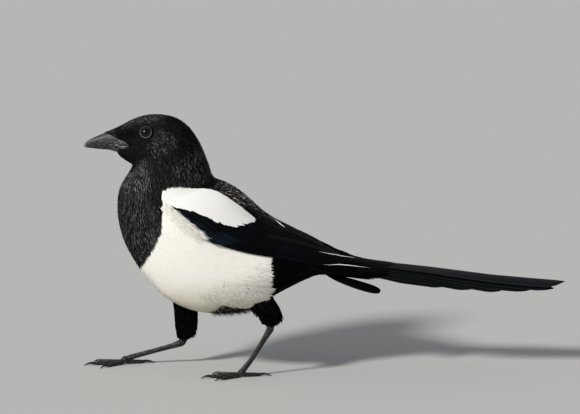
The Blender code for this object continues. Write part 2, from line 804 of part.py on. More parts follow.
def build():
    clear_scene()
    group = make_collection("eurasian_magpie")
    cutters = make_collection("cutters")
    looks = {
        "black_feathers": make_material("black_feathers", (0.012, 0.012, 0.016), 0.45),
        "white_feathers": make_material("white_feathers", (0.80, 0.78, 0.72), 0.75),
        "bill_horn": make_material("bill_horn", (0.03, 0.03, 0.033), 0.35),
        "eye": make_material("eye", (0.02, 0.012, 0.008), 0.08),
        "leg_skin": make_material("leg_skin", (0.03, 0.03, 0.032), 0.5),
        "claw_horn": make_material("claw_horn", (0.02, 0.02, 0.022), 0.3),
    }
    build_head(group, cutters, looks)
    build_bill(group, looks)
    add_object("neck", body_loft(HEAD_END, NECK_END, 9, shift=GAP), looks["black_feathers"],
               group)
    add_object("torso", body_loft(NECK_END, TORSO_END, 27, shift=GAP), looks["white_feathers"],
               group)
    inflated = body_loft(NECK_END, TORSO_END, 27, lift=CUT_GAP, shift=-GAP)
    torso_cutter = add_cutter("torso_clearance", inflated, cutters)
    build_wings(group, torso_cutter, looks)
    build_tail(group, looks)
    build_legs(group, torso_cutter, looks)
    build_feet(group, looks)


build()
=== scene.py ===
import math

import bmesh
import bpy
import numpy as np
from mathutils import Matrix, Vector
from mathutils.kdtree import KDTree


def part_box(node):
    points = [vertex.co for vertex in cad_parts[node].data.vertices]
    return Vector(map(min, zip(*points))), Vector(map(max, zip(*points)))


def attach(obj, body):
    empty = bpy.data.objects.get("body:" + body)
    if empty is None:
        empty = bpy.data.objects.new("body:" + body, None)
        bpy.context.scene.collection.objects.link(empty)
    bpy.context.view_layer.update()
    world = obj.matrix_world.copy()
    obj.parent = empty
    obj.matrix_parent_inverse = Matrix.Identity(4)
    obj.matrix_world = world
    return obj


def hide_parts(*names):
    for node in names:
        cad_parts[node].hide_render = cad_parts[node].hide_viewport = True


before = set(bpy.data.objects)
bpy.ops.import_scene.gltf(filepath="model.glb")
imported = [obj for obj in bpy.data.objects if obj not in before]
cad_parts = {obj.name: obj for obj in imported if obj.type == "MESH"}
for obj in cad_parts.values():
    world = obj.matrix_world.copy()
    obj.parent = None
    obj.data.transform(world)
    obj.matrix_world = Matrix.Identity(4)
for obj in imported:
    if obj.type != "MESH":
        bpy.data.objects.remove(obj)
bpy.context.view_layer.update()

# Skin. Under its feathers a magpie is one closed form from the root of the bill to the root of
# the tail, with the thighs growing out of it. It lies inside the plumage by the coat's depth,
# carries the same black and white as the feathers, and stands for all the flesh.
MM = 0.001
# The middle of the bird's length, from which the frame counts, in mm.
MIDDLE_X = 1.3
SIDES = {"left": 1.0, "right": -1.0}
# The plumage's outer face from the bill to the tail: back and belly as forward and height, and
# half the width between them, in mm.
BODY = (
    (180.5, 217.0, 181.4, 195.7, 7.0), (174.9, 220.4, 177.0, 191.0, 11.0),
    (166.2, 225.0, 171.4, 187.2, 14.5), (154.9, 228.4, 167.7, 184.6, 17.0),
    (141.8, 228.8, 168.4, 181.0, 18.5), (127.9, 225.2, 170.7, 177.0, 19.5),
    (116.6, 216.1, 174.0, 172.1, 21.0), (107.9, 201.9, 177.5, 165.9, 24.0),
    (101.8, 186.8, 179.7, 158.3, 27.0), (96.6, 173.0, 180.5, 148.5, 30.0),
    (87.0, 168.7, 179.7, 135.2, 33.5), (75.7, 162.3, 175.7, 119.2, 36.5),
    (64.4, 153.0, 167.9, 102.7, 38.0), (53.9, 143.2, 155.7, 84.5, 38.5),
    (42.6, 135.2, 138.3, 66.3, 38.0), (30.4, 129.0, 114.0, 55.1, 36.5),
    (18.3, 122.7, 86.1, 52.9, 33.0), (6.1, 116.1, 62.6, 57.8, 28.5),
    (-5.2, 109.8, 47.9, 67.6, 23.0), (-14.8, 105.1, 30.4, 77.8, 18.5),
    (-23.5, 102.9, 14.8, 85.4, 16.0), (-33.9, 101.0, 2.6, 86.9, 15.0),
    (-47.9, 98.7, -17.4, 84.9, 14.5), (-65.2, 96.5, -46.1, 81.4, 15.0))
# Where the coat ends along the body.
BODY_END = 22.0
TINY = 1e-9
# How deep the coat is, in mm, at places along the body.
COAT_DEPTH = ((0.0, 0.9), (2.0, 1.2), (5.0, 2.0), (8.0, 3.2), (12.0, 4.0), (18.0, 4.0),
              (22.0, 3.0))


def table(rows, at):
    """Reads a value off pairs of place and value."""
    rows = np.array(rows)
    return np.interp(at, rows[:, 0], rows[:, 1])


def along_rows(rows, at):
    """Points on a smooth curve through rows of numbers, at places that count the rows."""
    rows = np.array(rows, float)
    last = len(rows) - 1
    i = np.clip(np.floor(at), 0, last - 1).astype(int)
    f = np.clip(at - i, 0.0, 1.0)[..., None]
    a, b, c, d = (rows[np.clip(i + k, 0, last)] for k in (-1, 0, 1, 2))
    return 0.5 * (2 * b + (c - a) * f + (2 * a - 5 * b + 4 * c - d) * f * f
                  + (3 * b - a - 3 * c + d) * f ** 3)


def body_bare(place, angle):
    """Points on the plumage's outer face: place counts sections, angle runs from the back."""
    row = along_rows(BODY, place)
    turn = np.radians(angle)
    share = (1 + np.cos(turn)) / 2
    return np.stack((row[..., 2] + (row[..., 0] - row[..., 2]) * share,
                     row[..., 4] * np.sin(turn),
                     row[..., 3] + (row[..., 1] - row[..., 3]) * share), -1)


def unit(vectors):
    """The same directions with a length of one."""
    return vectors / np.maximum(np.linalg.norm(vectors, axis=-1, keepdims=True), TINY)


def body_out(place, angle):
    """The direction straight out of the body."""
    step = 0.02
    forward = body_bare(place + step, angle) - body_bare(place - step, angle)
    around = body_bare(place, angle + 1) - body_bare(place, angle - 1)
    return -unit(np.cross(forward, around))


def on_body(place, angle, lift):
    """Points on the body, in mm, at a height over the plumage's outer face."""
    return body_bare(place, angle) + body_out(place, angle) * np.asarray(lift)[..., None]


def metres(points):
    """Points in mm from the bird's own origin, as points in metres in the frame."""
    return (points - np.array((MIDDLE_X, 0.0, 0.0))) * MM


# Where white meets black on the closed plumage, as outlines of place and angle.
WHITE_SCAPULARS = ((8.52, 92.0), (8.50, 80.5), (8.62, 70.9), (9.23, 47.7), (10.20, 39.6),
                   (10.87, 36.8), (11.53, 33.8), (12.21, 31.2), (13.09, 28.5), (13.10, 37.3),
                   (12.96, 45.5), (12.68, 57.3), (11.92, 65.7), (11.12, 71.5), (10.44, 79.9),
                   (9.85, 88.5), (9.49, 94.9))
WHITE_UNDERPARTS = ((8.45, 90.0), (9.41, 95.0), (10.42, 102.7), (11.21, 110.8), (11.72, 121.8),
                    (12.16, 136.9), (12.58, 163.0), (12.65, 181.0), (16.95, 181.0),
                    (16.84, 115.8), (16.50, 95.0), (16.18, 82.0), (15.70, 70.0), (15.1, 50.0),
                    (13.8, 50.0), (12.84, 70.0), (12.02, 75.0), (11.01, 80.0), (9.9, 86.0))


def unsigned(angle):
    """How far an angle is from the back, the same on both sides of the body."""
    return np.abs((angle + 180.0) % 360.0 - 180.0)


def inside(outline, place, angle):
    """Whether places and angles lie in an outline, the same on both sides of the body."""
    angle = unsigned(angle)
    found = np.zeros(np.shape(place), bool)
    ends = outline[1:] + outline[:1]
    for (x0, y0), (x1, y1) in zip(outline, ends):
        crosses = (y0 > angle) != (y1 > angle)
        edge = x0 + (x1 - x0) * (angle - y0) / ((y1 - y0) or TINY)
        found ^= crosses & (place < edge)
    return found


def white_at(place, angle):
    return inside(WHITE_SCAPULARS, place, angle) | inside(WHITE_UNDERPARTS, place, angle)


class Shade:
    """One value in a material's nodes. A sum written on it adds the nodes that work it out."""

    def __init__(self, tree, socket=None):
        self.tree = tree
        self.socket = socket

    def node(self, kind, settings=None, inputs=None, output=0):
        """Adds a node with its settings, feeds its sockets and gives one of its outputs."""
        made = self.tree.nodes.new(kind)
        for key, value in (settings or {}).items():
            if key == "stops":
                while len(made.color_ramp.elements) < len(value):
                    made.color_ramp.elements.new(0.5)
                for stop, (place, colour) in zip(made.color_ramp.elements, value):
                    stop.position, stop.color = place, (*colour, 1.0)
            else:
                setattr(made, key, value)
        for key, value in (inputs or {}).items():
            if isinstance(value, Shade):
                self.tree.links.new(value.socket, made.inputs[key])
            else:
                made.inputs[key].default_value = value
        return Shade(self.tree, made.outputs[output])

    def carried(self):
        """The numbers that a piece carries at its points."""
        return self.node("ShaderNodeAttribute", {"attribute_name": "plume"})

    def spot(self):
        """The place of a point, in metres."""
        return self.node("ShaderNodeTexCoord", {}, {}, 3)

    def noise(self, scale, detail, **inputs):
        return self.node("ShaderNodeTexNoise", {}, {"Scale": scale, "Detail": detail, **inputs})

    def part(self, kind, number):
        """One number of a place, with the kind XYZ, or of a Color."""
        return self.node(f"ShaderNodeSeparate{kind}", {}, {0: self}, number)

    def maths(self, operation, first, second=0.0):
        return self.node("ShaderNodeMath", {"operation": operation}, {0: first, 1: second})

    def wave(self):
        """Swings between 0 and 1 as this value grows."""
        return self.maths("SINE", self) * 0.5 + 0.5

    def __add__(self, other):
        return self.maths("ADD", self, other)

    def __radd__(self, other):
        return self.maths("ADD", other, self)

    def __sub__(self, other):
        return self.maths("SUBTRACT", self, other)

    def __rsub__(self, other):
        return self.maths("SUBTRACT", other, self)

    def __mul__(self, other):
        return self.maths("MULTIPLY", self, other)

    def __rmul__(self, other):
        return self.maths("MULTIPLY", other, self)

    def __abs__(self):
        return self.maths("ABSOLUTE", self)

    def between(self, low, high):
        """Rises from 0 at low to 1 at high, smoothly."""
        return self.node("ShaderNodeMapRange", {"interpolation_type": "SMOOTHSTEP"},
                         {"Value": self, "From Min": low, "From Max": high})

    def mixed(self, first, second):
        """Goes from the first colour to the second as this value goes from 0 to 1."""
        first, second = [c if isinstance(c, Shade) else (*c, 1.0) for c in (first, second)]
        return self.node("ShaderNodeMix", {"data_type": "RGBA"}, {0: self, 6: first, 7: second}, 2)


def finish_named(name, **constant):
    """A new material, the start of its sums and the shader that they feed."""
    material = bpy.data.materials.new(name)
    material.use_nodes = True
    tree = material.node_tree
    shader = tree.nodes["Principled BSDF"]
    for key, value in constant.items():
        shader.inputs[key.replace("_", " ")].default_value = value
    return material, Shade(tree), shader


def feed(shader, **values):
    """Links values to the sockets of a shader."""
    for key, value in values.items():
        shader.id_data.links.new(value.socket, shader.inputs[key.replace("_", " ")])


def add_thing(name, data):
    thing = bpy.data.objects.new(name, data)
    bpy.context.scene.collection.objects.link(thing)
    return thing


def place_in_scene(name, mesh, material):
    """One still piece of the bird from its mesh."""
    mesh.materials.append(material)
    thing = add_thing(name, mesh)
    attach(thing, "root")
    return thing


skin_material, sums, shader = finish_named("skin", Roughness=0.85)
whiteness = sums.carried().part("Color", 0)
mottle = sums.noise(260.0, 5.0)
feed(shader, Base_Color=whiteness.mixed(mottle.mixed((0.004, 0.004, 0.005), (0.012, 0.012, 0.014)),
                                        mottle.mixed((0.60, 0.57, 0.50), (0.78, 0.76, 0.71))))

SKIN_RINGS = 180
SKIN_AROUND = 96
THIGH_AROUND = 24
SKIN_VOXEL = 1.8 * MM
TRUNK_REACH = 2.0 * SKIN_VOXEL
# Thighs under their feathers: x, y, z, half depth fore and aft and half width, in mm.
THIGHS = {
    "left": ((72.0, 8.0, 98.0, 8.0, 6.0), (66.0, 14.0, 88.0, 9.8, 6.8), (60.0, 20.0, 76.0, 11.8, 8.3),
             (53.0, 23.0, 63.0, 11.8, 7.8), (49.2, 23.0, 57.0, 10.0, 6.4), (48.3, 23.0, 51.0, 7.0, 4.6),
             (48.0, 23.0, 47.5, 2.8, 2.4)),
    "right": ((128.0, 8.0, 96.0, 8.0, 6.0), (126.0, 15.0, 84.0, 9.8, 6.8),
              (124.0, 21.0, 70.0, 10.8, 8.3), (122.2, 24.0, 54.0, 9.6, 7.4),
              (121.6, 25.0, 40.0, 9.2, 6.4), (122.0, 25.5, 30.0, 7.6, 5.0),
              (123.4, 26.0, 24.5, 3.2, 2.6))}


def spot_of(place, angle):
    """The place of a point of the trunk on the unwrap of the skin."""
    return np.stack((0.02 + 0.94 * place / BODY_END, 0.04 + 0.8 * (angle / 360.0 + 0.5)), -1)


def thigh_spot(points):
    """The place of a point of a thigh, in metres, on the unwrap of the skin."""
    x, y, z = np.array(points).T
    return np.stack((0.1 + 4.0 * x + y, 0.87 + z), -1)


def full_turn(count):
    """Evenly spaced angles once round."""
    return np.linspace(0.0, 2 * np.pi, count, endpoint=False)


def finished_mesh(made, name):
    """A smooth mesh from a built form, its faces turned outward."""
    bmesh.ops.recalc_face_normals(made, faces=made.faces)
    mesh = bpy.data.meshes.new(name)
    made.to_mesh(mesh)
    made.free()
    mesh.shade_smooth()
    return mesh


def tube(made, rings):
    """Adds a closed tube through rings of points in mm."""
    layers = [[made.verts.new(Vector(metres(p))) for p in ring] for ring in rings]
    for one, two in zip(layers, layers[1:]):
        for k in range(len(one)):
            made.faces.new((one[k - 1], one[k], two[k], two[k - 1]))
    made.faces.new(layers[0])
    made.faces.new(layers[-1])


p, a = np.meshgrid(np.linspace(0.0, BODY_END, SKIN_RINGS),
                   np.linspace(-180.0, 180.0, SKIN_AROUND, endpoint=False), indexing="ij")
body_rings = on_body(p, a, -table(COAT_DEPTH, p))
made = bmesh.new()
tube(made, body_rings)
turn = full_turn(THIGH_AROUND)
for word, side in SIDES.items():
    rows = np.array(THIGHS[word])
    rounds = np.stack((rows[:, 3:4] * np.cos(turn), rows[:, 4:5] * np.sin(turn),
                       0.0 * rows[:, 3:4] * turn), -1)
    tube(made, rows[:, None, :3] * np.array((1.0, side, 1.0)) + rounds)
form = add_thing("skin_form", finished_mesh(made, "skin_form"))
joined = form.modifiers.new("joined", "REMESH")
joined.mode = "VOXEL"
joined.voxel_size = SKIN_VOXEL
grown = form.evaluated_get(bpy.context.evaluated_depsgraph_get())
made = bmesh.new()
made.from_mesh(grown.to_mesh())
grown.to_mesh_clear()
bpy.data.objects.remove(form)
bmesh.ops.smooth_vert(made, verts=made.verts, factor=0.5, use_axis_x=True, use_axis_y=True,
                      use_axis_z=True)
nearest = KDTree(body_rings.size // 3)
for number, point in enumerate(metres(body_rings).reshape(-1, 3)):
    nearest.insert(point, number)
nearest.balance()
place, angle = p.ravel(), a.ravel()
pale = white_at(place, angle)
plume = made.verts.layers.float_color.new("plume")
unwrap = made.loops.layers.uv.new("OFBake")
found = {}
for vert in made.verts:
    _, number, away = nearest.find(vert.co)
    found[vert.index] = number
    vert[plume] = (float(away < TRUNK_REACH and pale[number]), 0.5, 0.0, 1.0)
for face in made.faces:
    _, number, away = nearest.find(face.calc_center_median())
    for corner in face.loops:
        own = found[corner.vert.index]
        about = angle[own] + 360.0 * round((angle[number] - angle[own]) / 360.0)
        corner[unwrap].uv = (spot_of(place[own], about) if away < TRUNK_REACH
                             else thigh_spot(corner.vert.co))
skin = place_in_scene("skin", finished_mesh(made, "skin"), skin_material)
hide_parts("head", "neck", "torso", "thigh_left", "thigh_right")

# Legs and feet. Scaly black skin: overlapping scutes down the front of the shank and over each
# toe, finer scales behind, and soft pads on the sole that stand flat on the floor.

# Shanks from the heel to the toes' joint: x, y, z and radius, in mm.
SHANKS = {
    "left": ((48.0, 23.0, 46.5, 2.9), (47.9, 23.0, 43.4, 3.1), (49.4, 23.0, 40.2, 2.7),
             (54.0, 22.8, 32.4, 2.15), (64.0, 22.4, 16.0, 2.05), (69.6, 22.1, 8.6, 2.3),
             (72.6, 22.0, 4.3, 2.6)),
    "right": ((124.0, 26.0, 23.4, 3.1), (125.4, 26.0, 20.4, 3.2), (128.4, 26.0, 18.6, 2.8),
              (137.0, 26.2, 15.8, 2.15), (158.0, 26.7, 9.9, 2.05), (168.4, 27.0, 6.9, 2.2),
              (175.4, 27.2, 4.2, 2.6))}
# Where the toes meet: x, y and z in mm, and how far the foot turns outward, in degrees.
FEET = {"left": (72.6, 22.0, 4.3, 10.0), "right": (175.4, 27.2, 4.2, -10.0)}
# Toes: heading in degrees, length, radius and claw in mm, and the numbers of scutes and pads.
TOES = {"inner": (-30.0, 20.0, 2.0, 8.0, 9, 3), "middle": (0.0, 27.0, 2.2, 9.5, 12, 3),
        "outer": (26.0, 21.0, 2.0, 8.0, 9, 3), "hind": (180.0, 16.0, 2.1, 11.0, 7, 2)}
SHANK_SCUTES = 13
SHANK_RINGS = 92
SHANK_NARROW = 0.86
SCUTE_RISE, KEEL_RISE, PAD_SWELL = 0.10, 0.18, 0.07
TOE_TAPER = 0.26
LEG_ROUND = 20
CLAW_ROUND = 14
CLAW_NARROW = 0.72
CLAW_OVERLAP = 0.5
BALL_RADIUS, BALL_HEIGHT = 3.2, 3.0


def smooth_rows(rows, count):
    """Rows on a smooth curve through a few given rows, evenly counted."""
    return along_rows(rows, np.linspace(0, len(rows) - 1, count))


def scute_step(share, count, edge=0.16):
    """The rise of overlapping scutes along a limb: each swells and drops at its lower edge."""
    part = (share * count) % 1.0
    return np.where(part < edge, part / edge, 1.0 - 0.75 * (part - edge) / (1 - edge))


def leg_piece(name, shells, material):
    """One piece from several tubes of rings, in mm."""
    made = bmesh.new()
    for rings in shells:
        tube(made, rings)
    mesh = finished_mesh(made, name)
    mesh.set_sharp_from_angle(angle=math.radians(60))
    return place_in_scene(name, mesh, material)


def relief(shader, height, strength, depth=0.2 * MM):
    """Lets a height of 0 to 1 catch the light, as deep as a few tenths of a millimetre."""
    feed(shader, Normal=height.node("ShaderNodeBump", {}, {"Strength": strength, "Distance": depth,
                                                           "Height": height}))


def horny_skin(name, dark, pale, roughness, scale):
    """Scaly skin: dark horn with paler worn edges and dust in the creases."""
    material, sums, shader = finish_named(name, Specular_IOR_Level=0.28)
    spot = sums.spot()
    grain = sums.noise(scale, 6.0, Vector=spot, Roughness=0.65)
    cells = sums.node("ShaderNodeTexVoronoi", {"feature": "DISTANCE_TO_EDGE"},
                      {"Vector": spot, "Scale": scale * 1.7})
    worn = grain.between(0.54, 0.74)
    crease = 1.0 - cells.between(0.0, 0.10)
    feed(shader, Base_Color=(worn * 0.7 + crease * 0.5).mixed(dark, pale),
         Roughness=roughness + (grain - 0.5) * 0.4)
    relief(shader, cells.between(0.0, 0.12) * 0.6 + grain * 0.4, 0.45)
    return material


leg_skin = horny_skin("leg_skin", (0.0025, 0.0025, 0.003), (0.11, 0.11, 0.108), roughness=0.40,
                      scale=420.0)
claw_horn = horny_skin("claw_horn", (0.008, 0.008, 0.009), (0.05, 0.05, 0.05), roughness=0.30,
                       scale=500.0)
round_turn = full_turn(LEG_ROUND)
claw_turn = full_turn(CLAW_ROUND)
UP = np.array((0.0, 0.0, 1.0))
ON_FLOOR = np.array((1.0, 1.0, 0.0))
# A claw from its root to its tip: share of the length, height over the floor and radius, in mm.
claw_form = smooth_rows(((0.0, 1.75, 1.35), (0.3, 2.2, 1.1), (0.6, 1.8, 0.78), (0.86, 0.75, 0.42),
                         (1.0, 0.12, 0.12)), 22)


def shank_rings(rows, side):
    """A shank with scutes down its front and a keel down its back."""
    path = smooth_rows(rows, SHANK_RINGS)
    line = path[:, :3] * np.array((1.0, side, 1.0))
    run = unit(np.gradient(line, axis=0))
    front = np.cross(unit(np.cross(run, UP)), run)
    front = front * np.sign(front[:, :1] + TINY)
    across = np.cross(front, run)
    share = np.linspace(0.0, 1.0, len(path))
    ahead, beside = np.cos(round_turn), np.sin(round_turn)
    step = scute_step(share, SHANK_SCUTES)[:, None] * np.clip(ahead[None] + 0.35, 0, 1)
    keel = np.clip(-ahead[None], 0, 1) ** 6 * KEEL_RISE
    reach = path[:, 3:] * (0.95 + SCUTE_RISE * step + keel)
    return (line[:, None] + front[:, None] * (reach * ahead)[..., None]
            + across[:, None] * (reach * SHANK_NARROW * beside)[..., None])


def toe_rings(joint, ahead, beside, length, radius, scutes, pads):
    """A toe that comes down from the joint and lies on the floor, scuted above, padded below."""
    share = np.linspace(0.0, 1.0, scutes * 6 + 1)
    size = radius * (1 - TOE_TAPER * share)
    step = scute_step(share, scutes)[:, None]
    up, out = np.cos(round_turn), np.sin(round_turn)
    height = size[:, None] * (1 + up[None] * np.where(up > 0, 1.0 + SCUTE_RISE * step, 1.0))
    swell = size * (1 + PAD_SWELL * np.cos(share * 2 * np.pi * pads))
    width = swell[:, None] * out[None] * (0.94 + 0.06 * up)[None]
    lift = (joint[2] - size[0]) * np.clip(1 - share / 0.22, 0, 1) ** 2
    blunt = np.clip((1.0 - share) / 0.05, 0.45, 1.0)[:, None]
    raised = np.maximum(height * blunt + (1 - blunt) * size[:, None], 0.0) + lift[:, None]
    return (joint * ON_FLOOR + ahead * (share * length)[:, None, None]
            + beside * (width * blunt)[..., None] + UP * raised[..., None])


def claw_rings(root, ahead, beside, length):
    """A claw that rises from its toe and curves down to the floor."""
    middle = root * ON_FLOOR + ahead * (claw_form[:, :1] * length) + UP * claw_form[:, 1:2]
    rise = np.cross(unit(np.gradient(middle, axis=0)), -beside)
    rise = rise * np.sign(rise[:, 2:])
    thick = claw_form[:, 2:]
    narrow = CLAW_NARROW * np.sin(claw_turn) * (1 - 0.3 * np.cos(claw_turn))
    rings = (middle[:, None] + rise[:, None] * (thick * np.cos(claw_turn))[..., None]
             + beside * (thick * narrow)[..., None])
    rings[..., 2] = np.maximum(rings[..., 2], 0.0)
    return rings


def ball_rings(joint):
    """The ball of the foot, in which the toes and the shank meet."""
    turn = np.linspace(0.06, np.pi - 0.06, 12)[:, None]
    swell = BALL_RADIUS * np.sin(turn)
    height = np.maximum(-BALL_HEIGHT * np.cos(turn), -joint[2])
    return joint + np.stack((swell * np.cos(round_turn), swell * np.sin(round_turn),
                             height + 0 * round_turn), -1)


for word, side in SIDES.items():
    shank = leg_piece(f"leg_{word}", [shank_rings(SHANKS[word], side)], leg_skin)
    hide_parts(f"shank_{word}")
    x, y, z, foot_turn = FEET[word]
    joint = np.array((x, side * y, z))
    shells = []
    for toe, (turn, length, radius, claw, scutes, pads) in TOES.items():
        heading = math.radians(turn + foot_turn) * side
        ahead = np.array((math.cos(heading), math.sin(heading), 0.0))
        beside = np.array((-ahead[1], ahead[0], 0.0))
        shells.append(toe_rings(joint, ahead, beside, length, radius, scutes, pads))
        rings = claw_rings(joint + ahead * (length - CLAW_OVERLAP), ahead, beside,
                           claw + CLAW_OVERLAP)
        nail = leg_piece(f"nail_{toe}_{word}", [rings], claw_horn)
        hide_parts(f"claw_{toe}_{word}")
    shells.append(ball_rings(joint))
    foot = leg_piece(f"toes_{word}", shells, leg_skin)
    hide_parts(f"foot_{word}")

# Bill. Slate-black horn in two halves that meet in the line of the mouth: the upper one has a
# ridge that bends down to the tip, and both run back on the cheeks to the gape, where the horn
# is thin and scaly with pale flecks.

# Forward, ridge, mouth, lower edge and half width, in mm.
BILL = ((171.0, 217.6, 203.4, 194.0, 8.2), (181.4, 215.9, 202.1, 196.0, 6.9),
        (187.1, 214.0, 201.4, 197.6, 5.6), (194.0, 211.5, 201.0, 198.2, 4.3),
        (203.6, 207.1, 200.7, 199.2, 2.3), (207.9, 204.0, 200.4, 199.8, 1.0),
        (209.6, 201.3, 200.0, 200.0, 0.25))
LOWER_BILL_END = 208.4
BILL_ROUND = 15
BILL_RINGS = 44
# The horn on the cheek by place: its upper and lower edge and the line of the mouth, as angles.
GAPE_TOP = ((0.0, 74.0), (0.5, 76.0), (1.1, 81.0), (1.5, 88.0), (1.8, 96.5))
GAPE_FOOT = ((0.0, 122.0), (0.5, 119.0), (1.1, 113.0), (1.5, 106.0), (1.8, 98.5))
MOUTH_LINE = ((0.0, 103.0), (0.9, 98.5), (1.8, 97.0))
GAPE_END = 1.78
# Heights of that horn over the plumage's outer face, in mm: its edge, its swell and its back.
GAPE_EDGE, GAPE_SWELL, GAPE_BACK = -0.7, 0.75, -1.6

# Where the horn's colour turns, in metres: forward for the gape and tip, height for the painted
# highlight along the ridge.
GAPE_ZONE, TIP_ZONE, LIT_RIDGE_ZONE = (0.1740, 0.1900), (0.2045, 0.2080), (0.2085, 0.2140)
bill_horn, sums, shader = finish_named("bill_horn", Specular_IOR_Level=0.35)
spot = sums.spot()
long_way = sums.node("ShaderNodeMapping", {}, {"Vector": spot, "Scale": (0.25, 1.0, 1.0)})
grain = sums.noise(900.0, 6.0, Vector=long_way, Roughness=0.7)
flecks = sums.noise(1100.0, 3.0, Vector=long_way)
ahead, level = spot.part("XYZ", 0), spot.part("XYZ", 2)
near_gape = 1.0 - ahead.between(*GAPE_ZONE)
base = grain.between(0.44, 0.64).mixed((0.003, 0.0035, 0.0045), (0.052, 0.054, 0.060))
# A painted highlight: the top of the bill is paler, as where the sun falls on it.
base = (level.between(*LIT_RIDGE_ZONE) * 0.25).mixed(base, (0.07, 0.072, 0.078))
base = (flecks.between(0.52, 0.66) * near_gape * 0.8).mixed(base, (0.30, 0.29, 0.26))
base = (ahead.between(*TIP_ZONE) * 0.6).mixed(base, (0.20, 0.20, 0.20))
feed(shader, Base_Color=base, Roughness=0.34 + grain * 0.25)
relief(shader, grain * 0.5 + flecks * near_gape, 0.5, 0.3 * MM)


def bill_rings(upper):
    """One half of the bill, from the skull to the tip: its outer face and its flat mouth face."""
    rows = smooth_rows(BILL, BILL_RINGS)
    if not upper:
        rows = rows[rows[:, 0] <= LOWER_BILL_END]
    turn = np.linspace(0.0, np.pi, BILL_ROUND)
    x, ridge, mouth, low, width = (rows[:, k][:, None] for k in range(5))
    gap, bulge, pinch = (0.16, 0.8, 1.0) if upper else (-0.22, 0.9, 0.95)
    mouth = mouth + gap
    tip = ridge if upper else low
    rise = np.sin(turn)[None] ** bulge
    outer = np.stack((x + 0 * rise, width * pinch * np.cos(turn)[None],
                      mouth + (tip - mouth) * rise), -1)
    roof = np.linspace(-0.85, 0.85, 5)[None]
    inner = np.stack((x + 0 * roof, width * pinch * roof,
                      mouth + (tip - mouth) * 0.12 * (1 - roof ** 2)), -1)
    return np.concatenate((outer, inner), 1)


def gape_rings(upper, side):
    """The horn at the root of the bill that lies on the cheek back to the gape."""
    t = np.linspace(0.0, GAPE_END, 20)
    line = table(MOUTH_LINE, t)
    a, b = (table(GAPE_TOP, t), line - 1.0) if upper else (line + 1.0, table(GAPE_FOOT, t))
    part = np.linspace(0.0, 1.0, 9)[None]
    angle = a[:, None] + (b - a)[:, None] * part
    place = t[:, None] + 0 * part
    lift = GAPE_EDGE + GAPE_SWELL * np.sin(np.pi * part) ** 0.6 + 0 * place
    outer = on_body(place, angle, lift)
    inner = on_body(place, angle, np.full(place.shape, GAPE_BACK))
    return np.concatenate((outer, inner[:, ::-1]), 1) * np.array((1.0, side, 1.0))


for word, upper in (("upper", True), ("lower", False)):
    shells = [bill_rings(upper)] + [gape_rings(upper, side) for side in SIDES.values()]
    half = leg_piece(f"{word}_bill", shells, bill_horn)
    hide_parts(f"bill_{word}")

# Eyes. A dark brown iris round a black pupil under a wet, slightly raised cornea, framed by a
# thin bare rim of lid with fine folds, painted pale grey below as lit and near black above as
# in shade.
EYE_PLACE, EYE_ANGLE = 3.34, 63.4
EYEBALL = 6.5
EYE_OPENING = 4.75
EYE_RISE = 0.15
CORNEA = 0.035
LID_RADIUS, LID_THICKNESS, LID_RISE = 5.0, 0.28, 0.25
# Edges of the pupil and the iris, as shares of a quarter turn from the middle of the eye.
PUPIL = 0.30
IRIS = 0.66

eye_finish, sums, shader = finish_named("eye_wet", Roughness=0.09, Specular_IOR_Level=0.22)
off_axis = sums.carried().part("Color", 0)
spokes = sums.noise(1500.0, 3.0)
iris = spokes.mixed((0.006, 0.003, 0.002), (0.018, 0.008, 0.004))
iris = off_axis.between(IRIS - 0.12, IRIS + 0.04).mixed(iris, (0.004, 0.004, 0.004))
outside = off_axis.between(PUPIL - 0.02, PUPIL + 0.02)
feed(shader, Base_Color=outside.mixed((0.001, 0.001, 0.001), iris))
lid_skin, sums, shader = finish_named("lid_skin", Roughness=0.5)
folds = sums.noise(1400.0, 3.0)
level = sums.spot().part("XYZ", 2)
ring = folds.mixed((0.010, 0.010, 0.010), (0.045, 0.045, 0.044))
# Painted light: the rim is pale grey below a height, as lit, and near black above it, as in shade.
feed(shader, Base_Color=(1.0 - level.between(0.2135, 0.2185)).mixed(ring, (0.13, 0.13, 0.125)))

for word, side in SIDES.items():
    flip = np.array((1.0, side, 1.0))
    point = body_bare(EYE_PLACE, EYE_ANGLE) * flip
    out = body_out(EYE_PLACE, EYE_ANGLE) * flip
    centre = point - out * (math.sqrt(EYEBALL ** 2 - EYE_OPENING ** 2) - EYE_RISE)
    made = bmesh.new()
    bmesh.ops.create_uvsphere(made, u_segments=40, v_segments=28, radius=EYEBALL * MM)
    looks = Vector((0.0, 0.0, 1.0)).rotation_difference(Vector(out)).to_matrix().to_4x4()
    layer = made.verts.layers.float_color.new("plume")
    for vert in made.verts:
        off = math.acos(max(-1.0, min(1.0, vert.co.z / (EYEBALL * MM)))) / (math.pi / 2)
        vert[layer] = (off, 0.0, 0.0, 1.0)
        vert.co *= 1.0 + CORNEA * max(0.0, 1.0 - (off / 0.5) ** 2)
    bmesh.ops.transform(made, matrix=Matrix.Translation(Vector(metres(centre))) @ looks,
                        verts=made.verts)
    mesh = finished_mesh(made, f"eyeball_{word}")
    eyeball = place_in_scene(f"eyeball_{word}", mesh, eye_finish)
    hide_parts(f"eye_{word}")
    made = bmesh.new()
    rim = bmesh.ops.create_circle(made, segments=10, radius=LID_THICKNESS * MM)["verts"]
    upright = Matrix.Rotation(math.pi / 2, 4, "X")
    aside = Matrix.Translation((LID_RADIUS * MM, 0, LID_RISE * MM))
    bmesh.ops.transform(made, matrix=aside @ upright, verts=rim)
    bmesh.ops.spin(made, geom=made.verts[:] + made.edges[:], cent=(0, 0, 0), axis=(0, 0, 1),
                   dvec=(0, 0, 0), angle=2 * math.pi, steps=48, use_merge=True)
    bmesh.ops.remove_doubles(made, verts=made.verts, dist=0.005 * MM)
    bmesh.ops.transform(made, matrix=Matrix.Translation(Vector(metres(point))) @ looks,
                        verts=made.verts)
    place_in_scene(f"lids_{word}", finished_mesh(made, f"lids_{word}"), lid_skin)

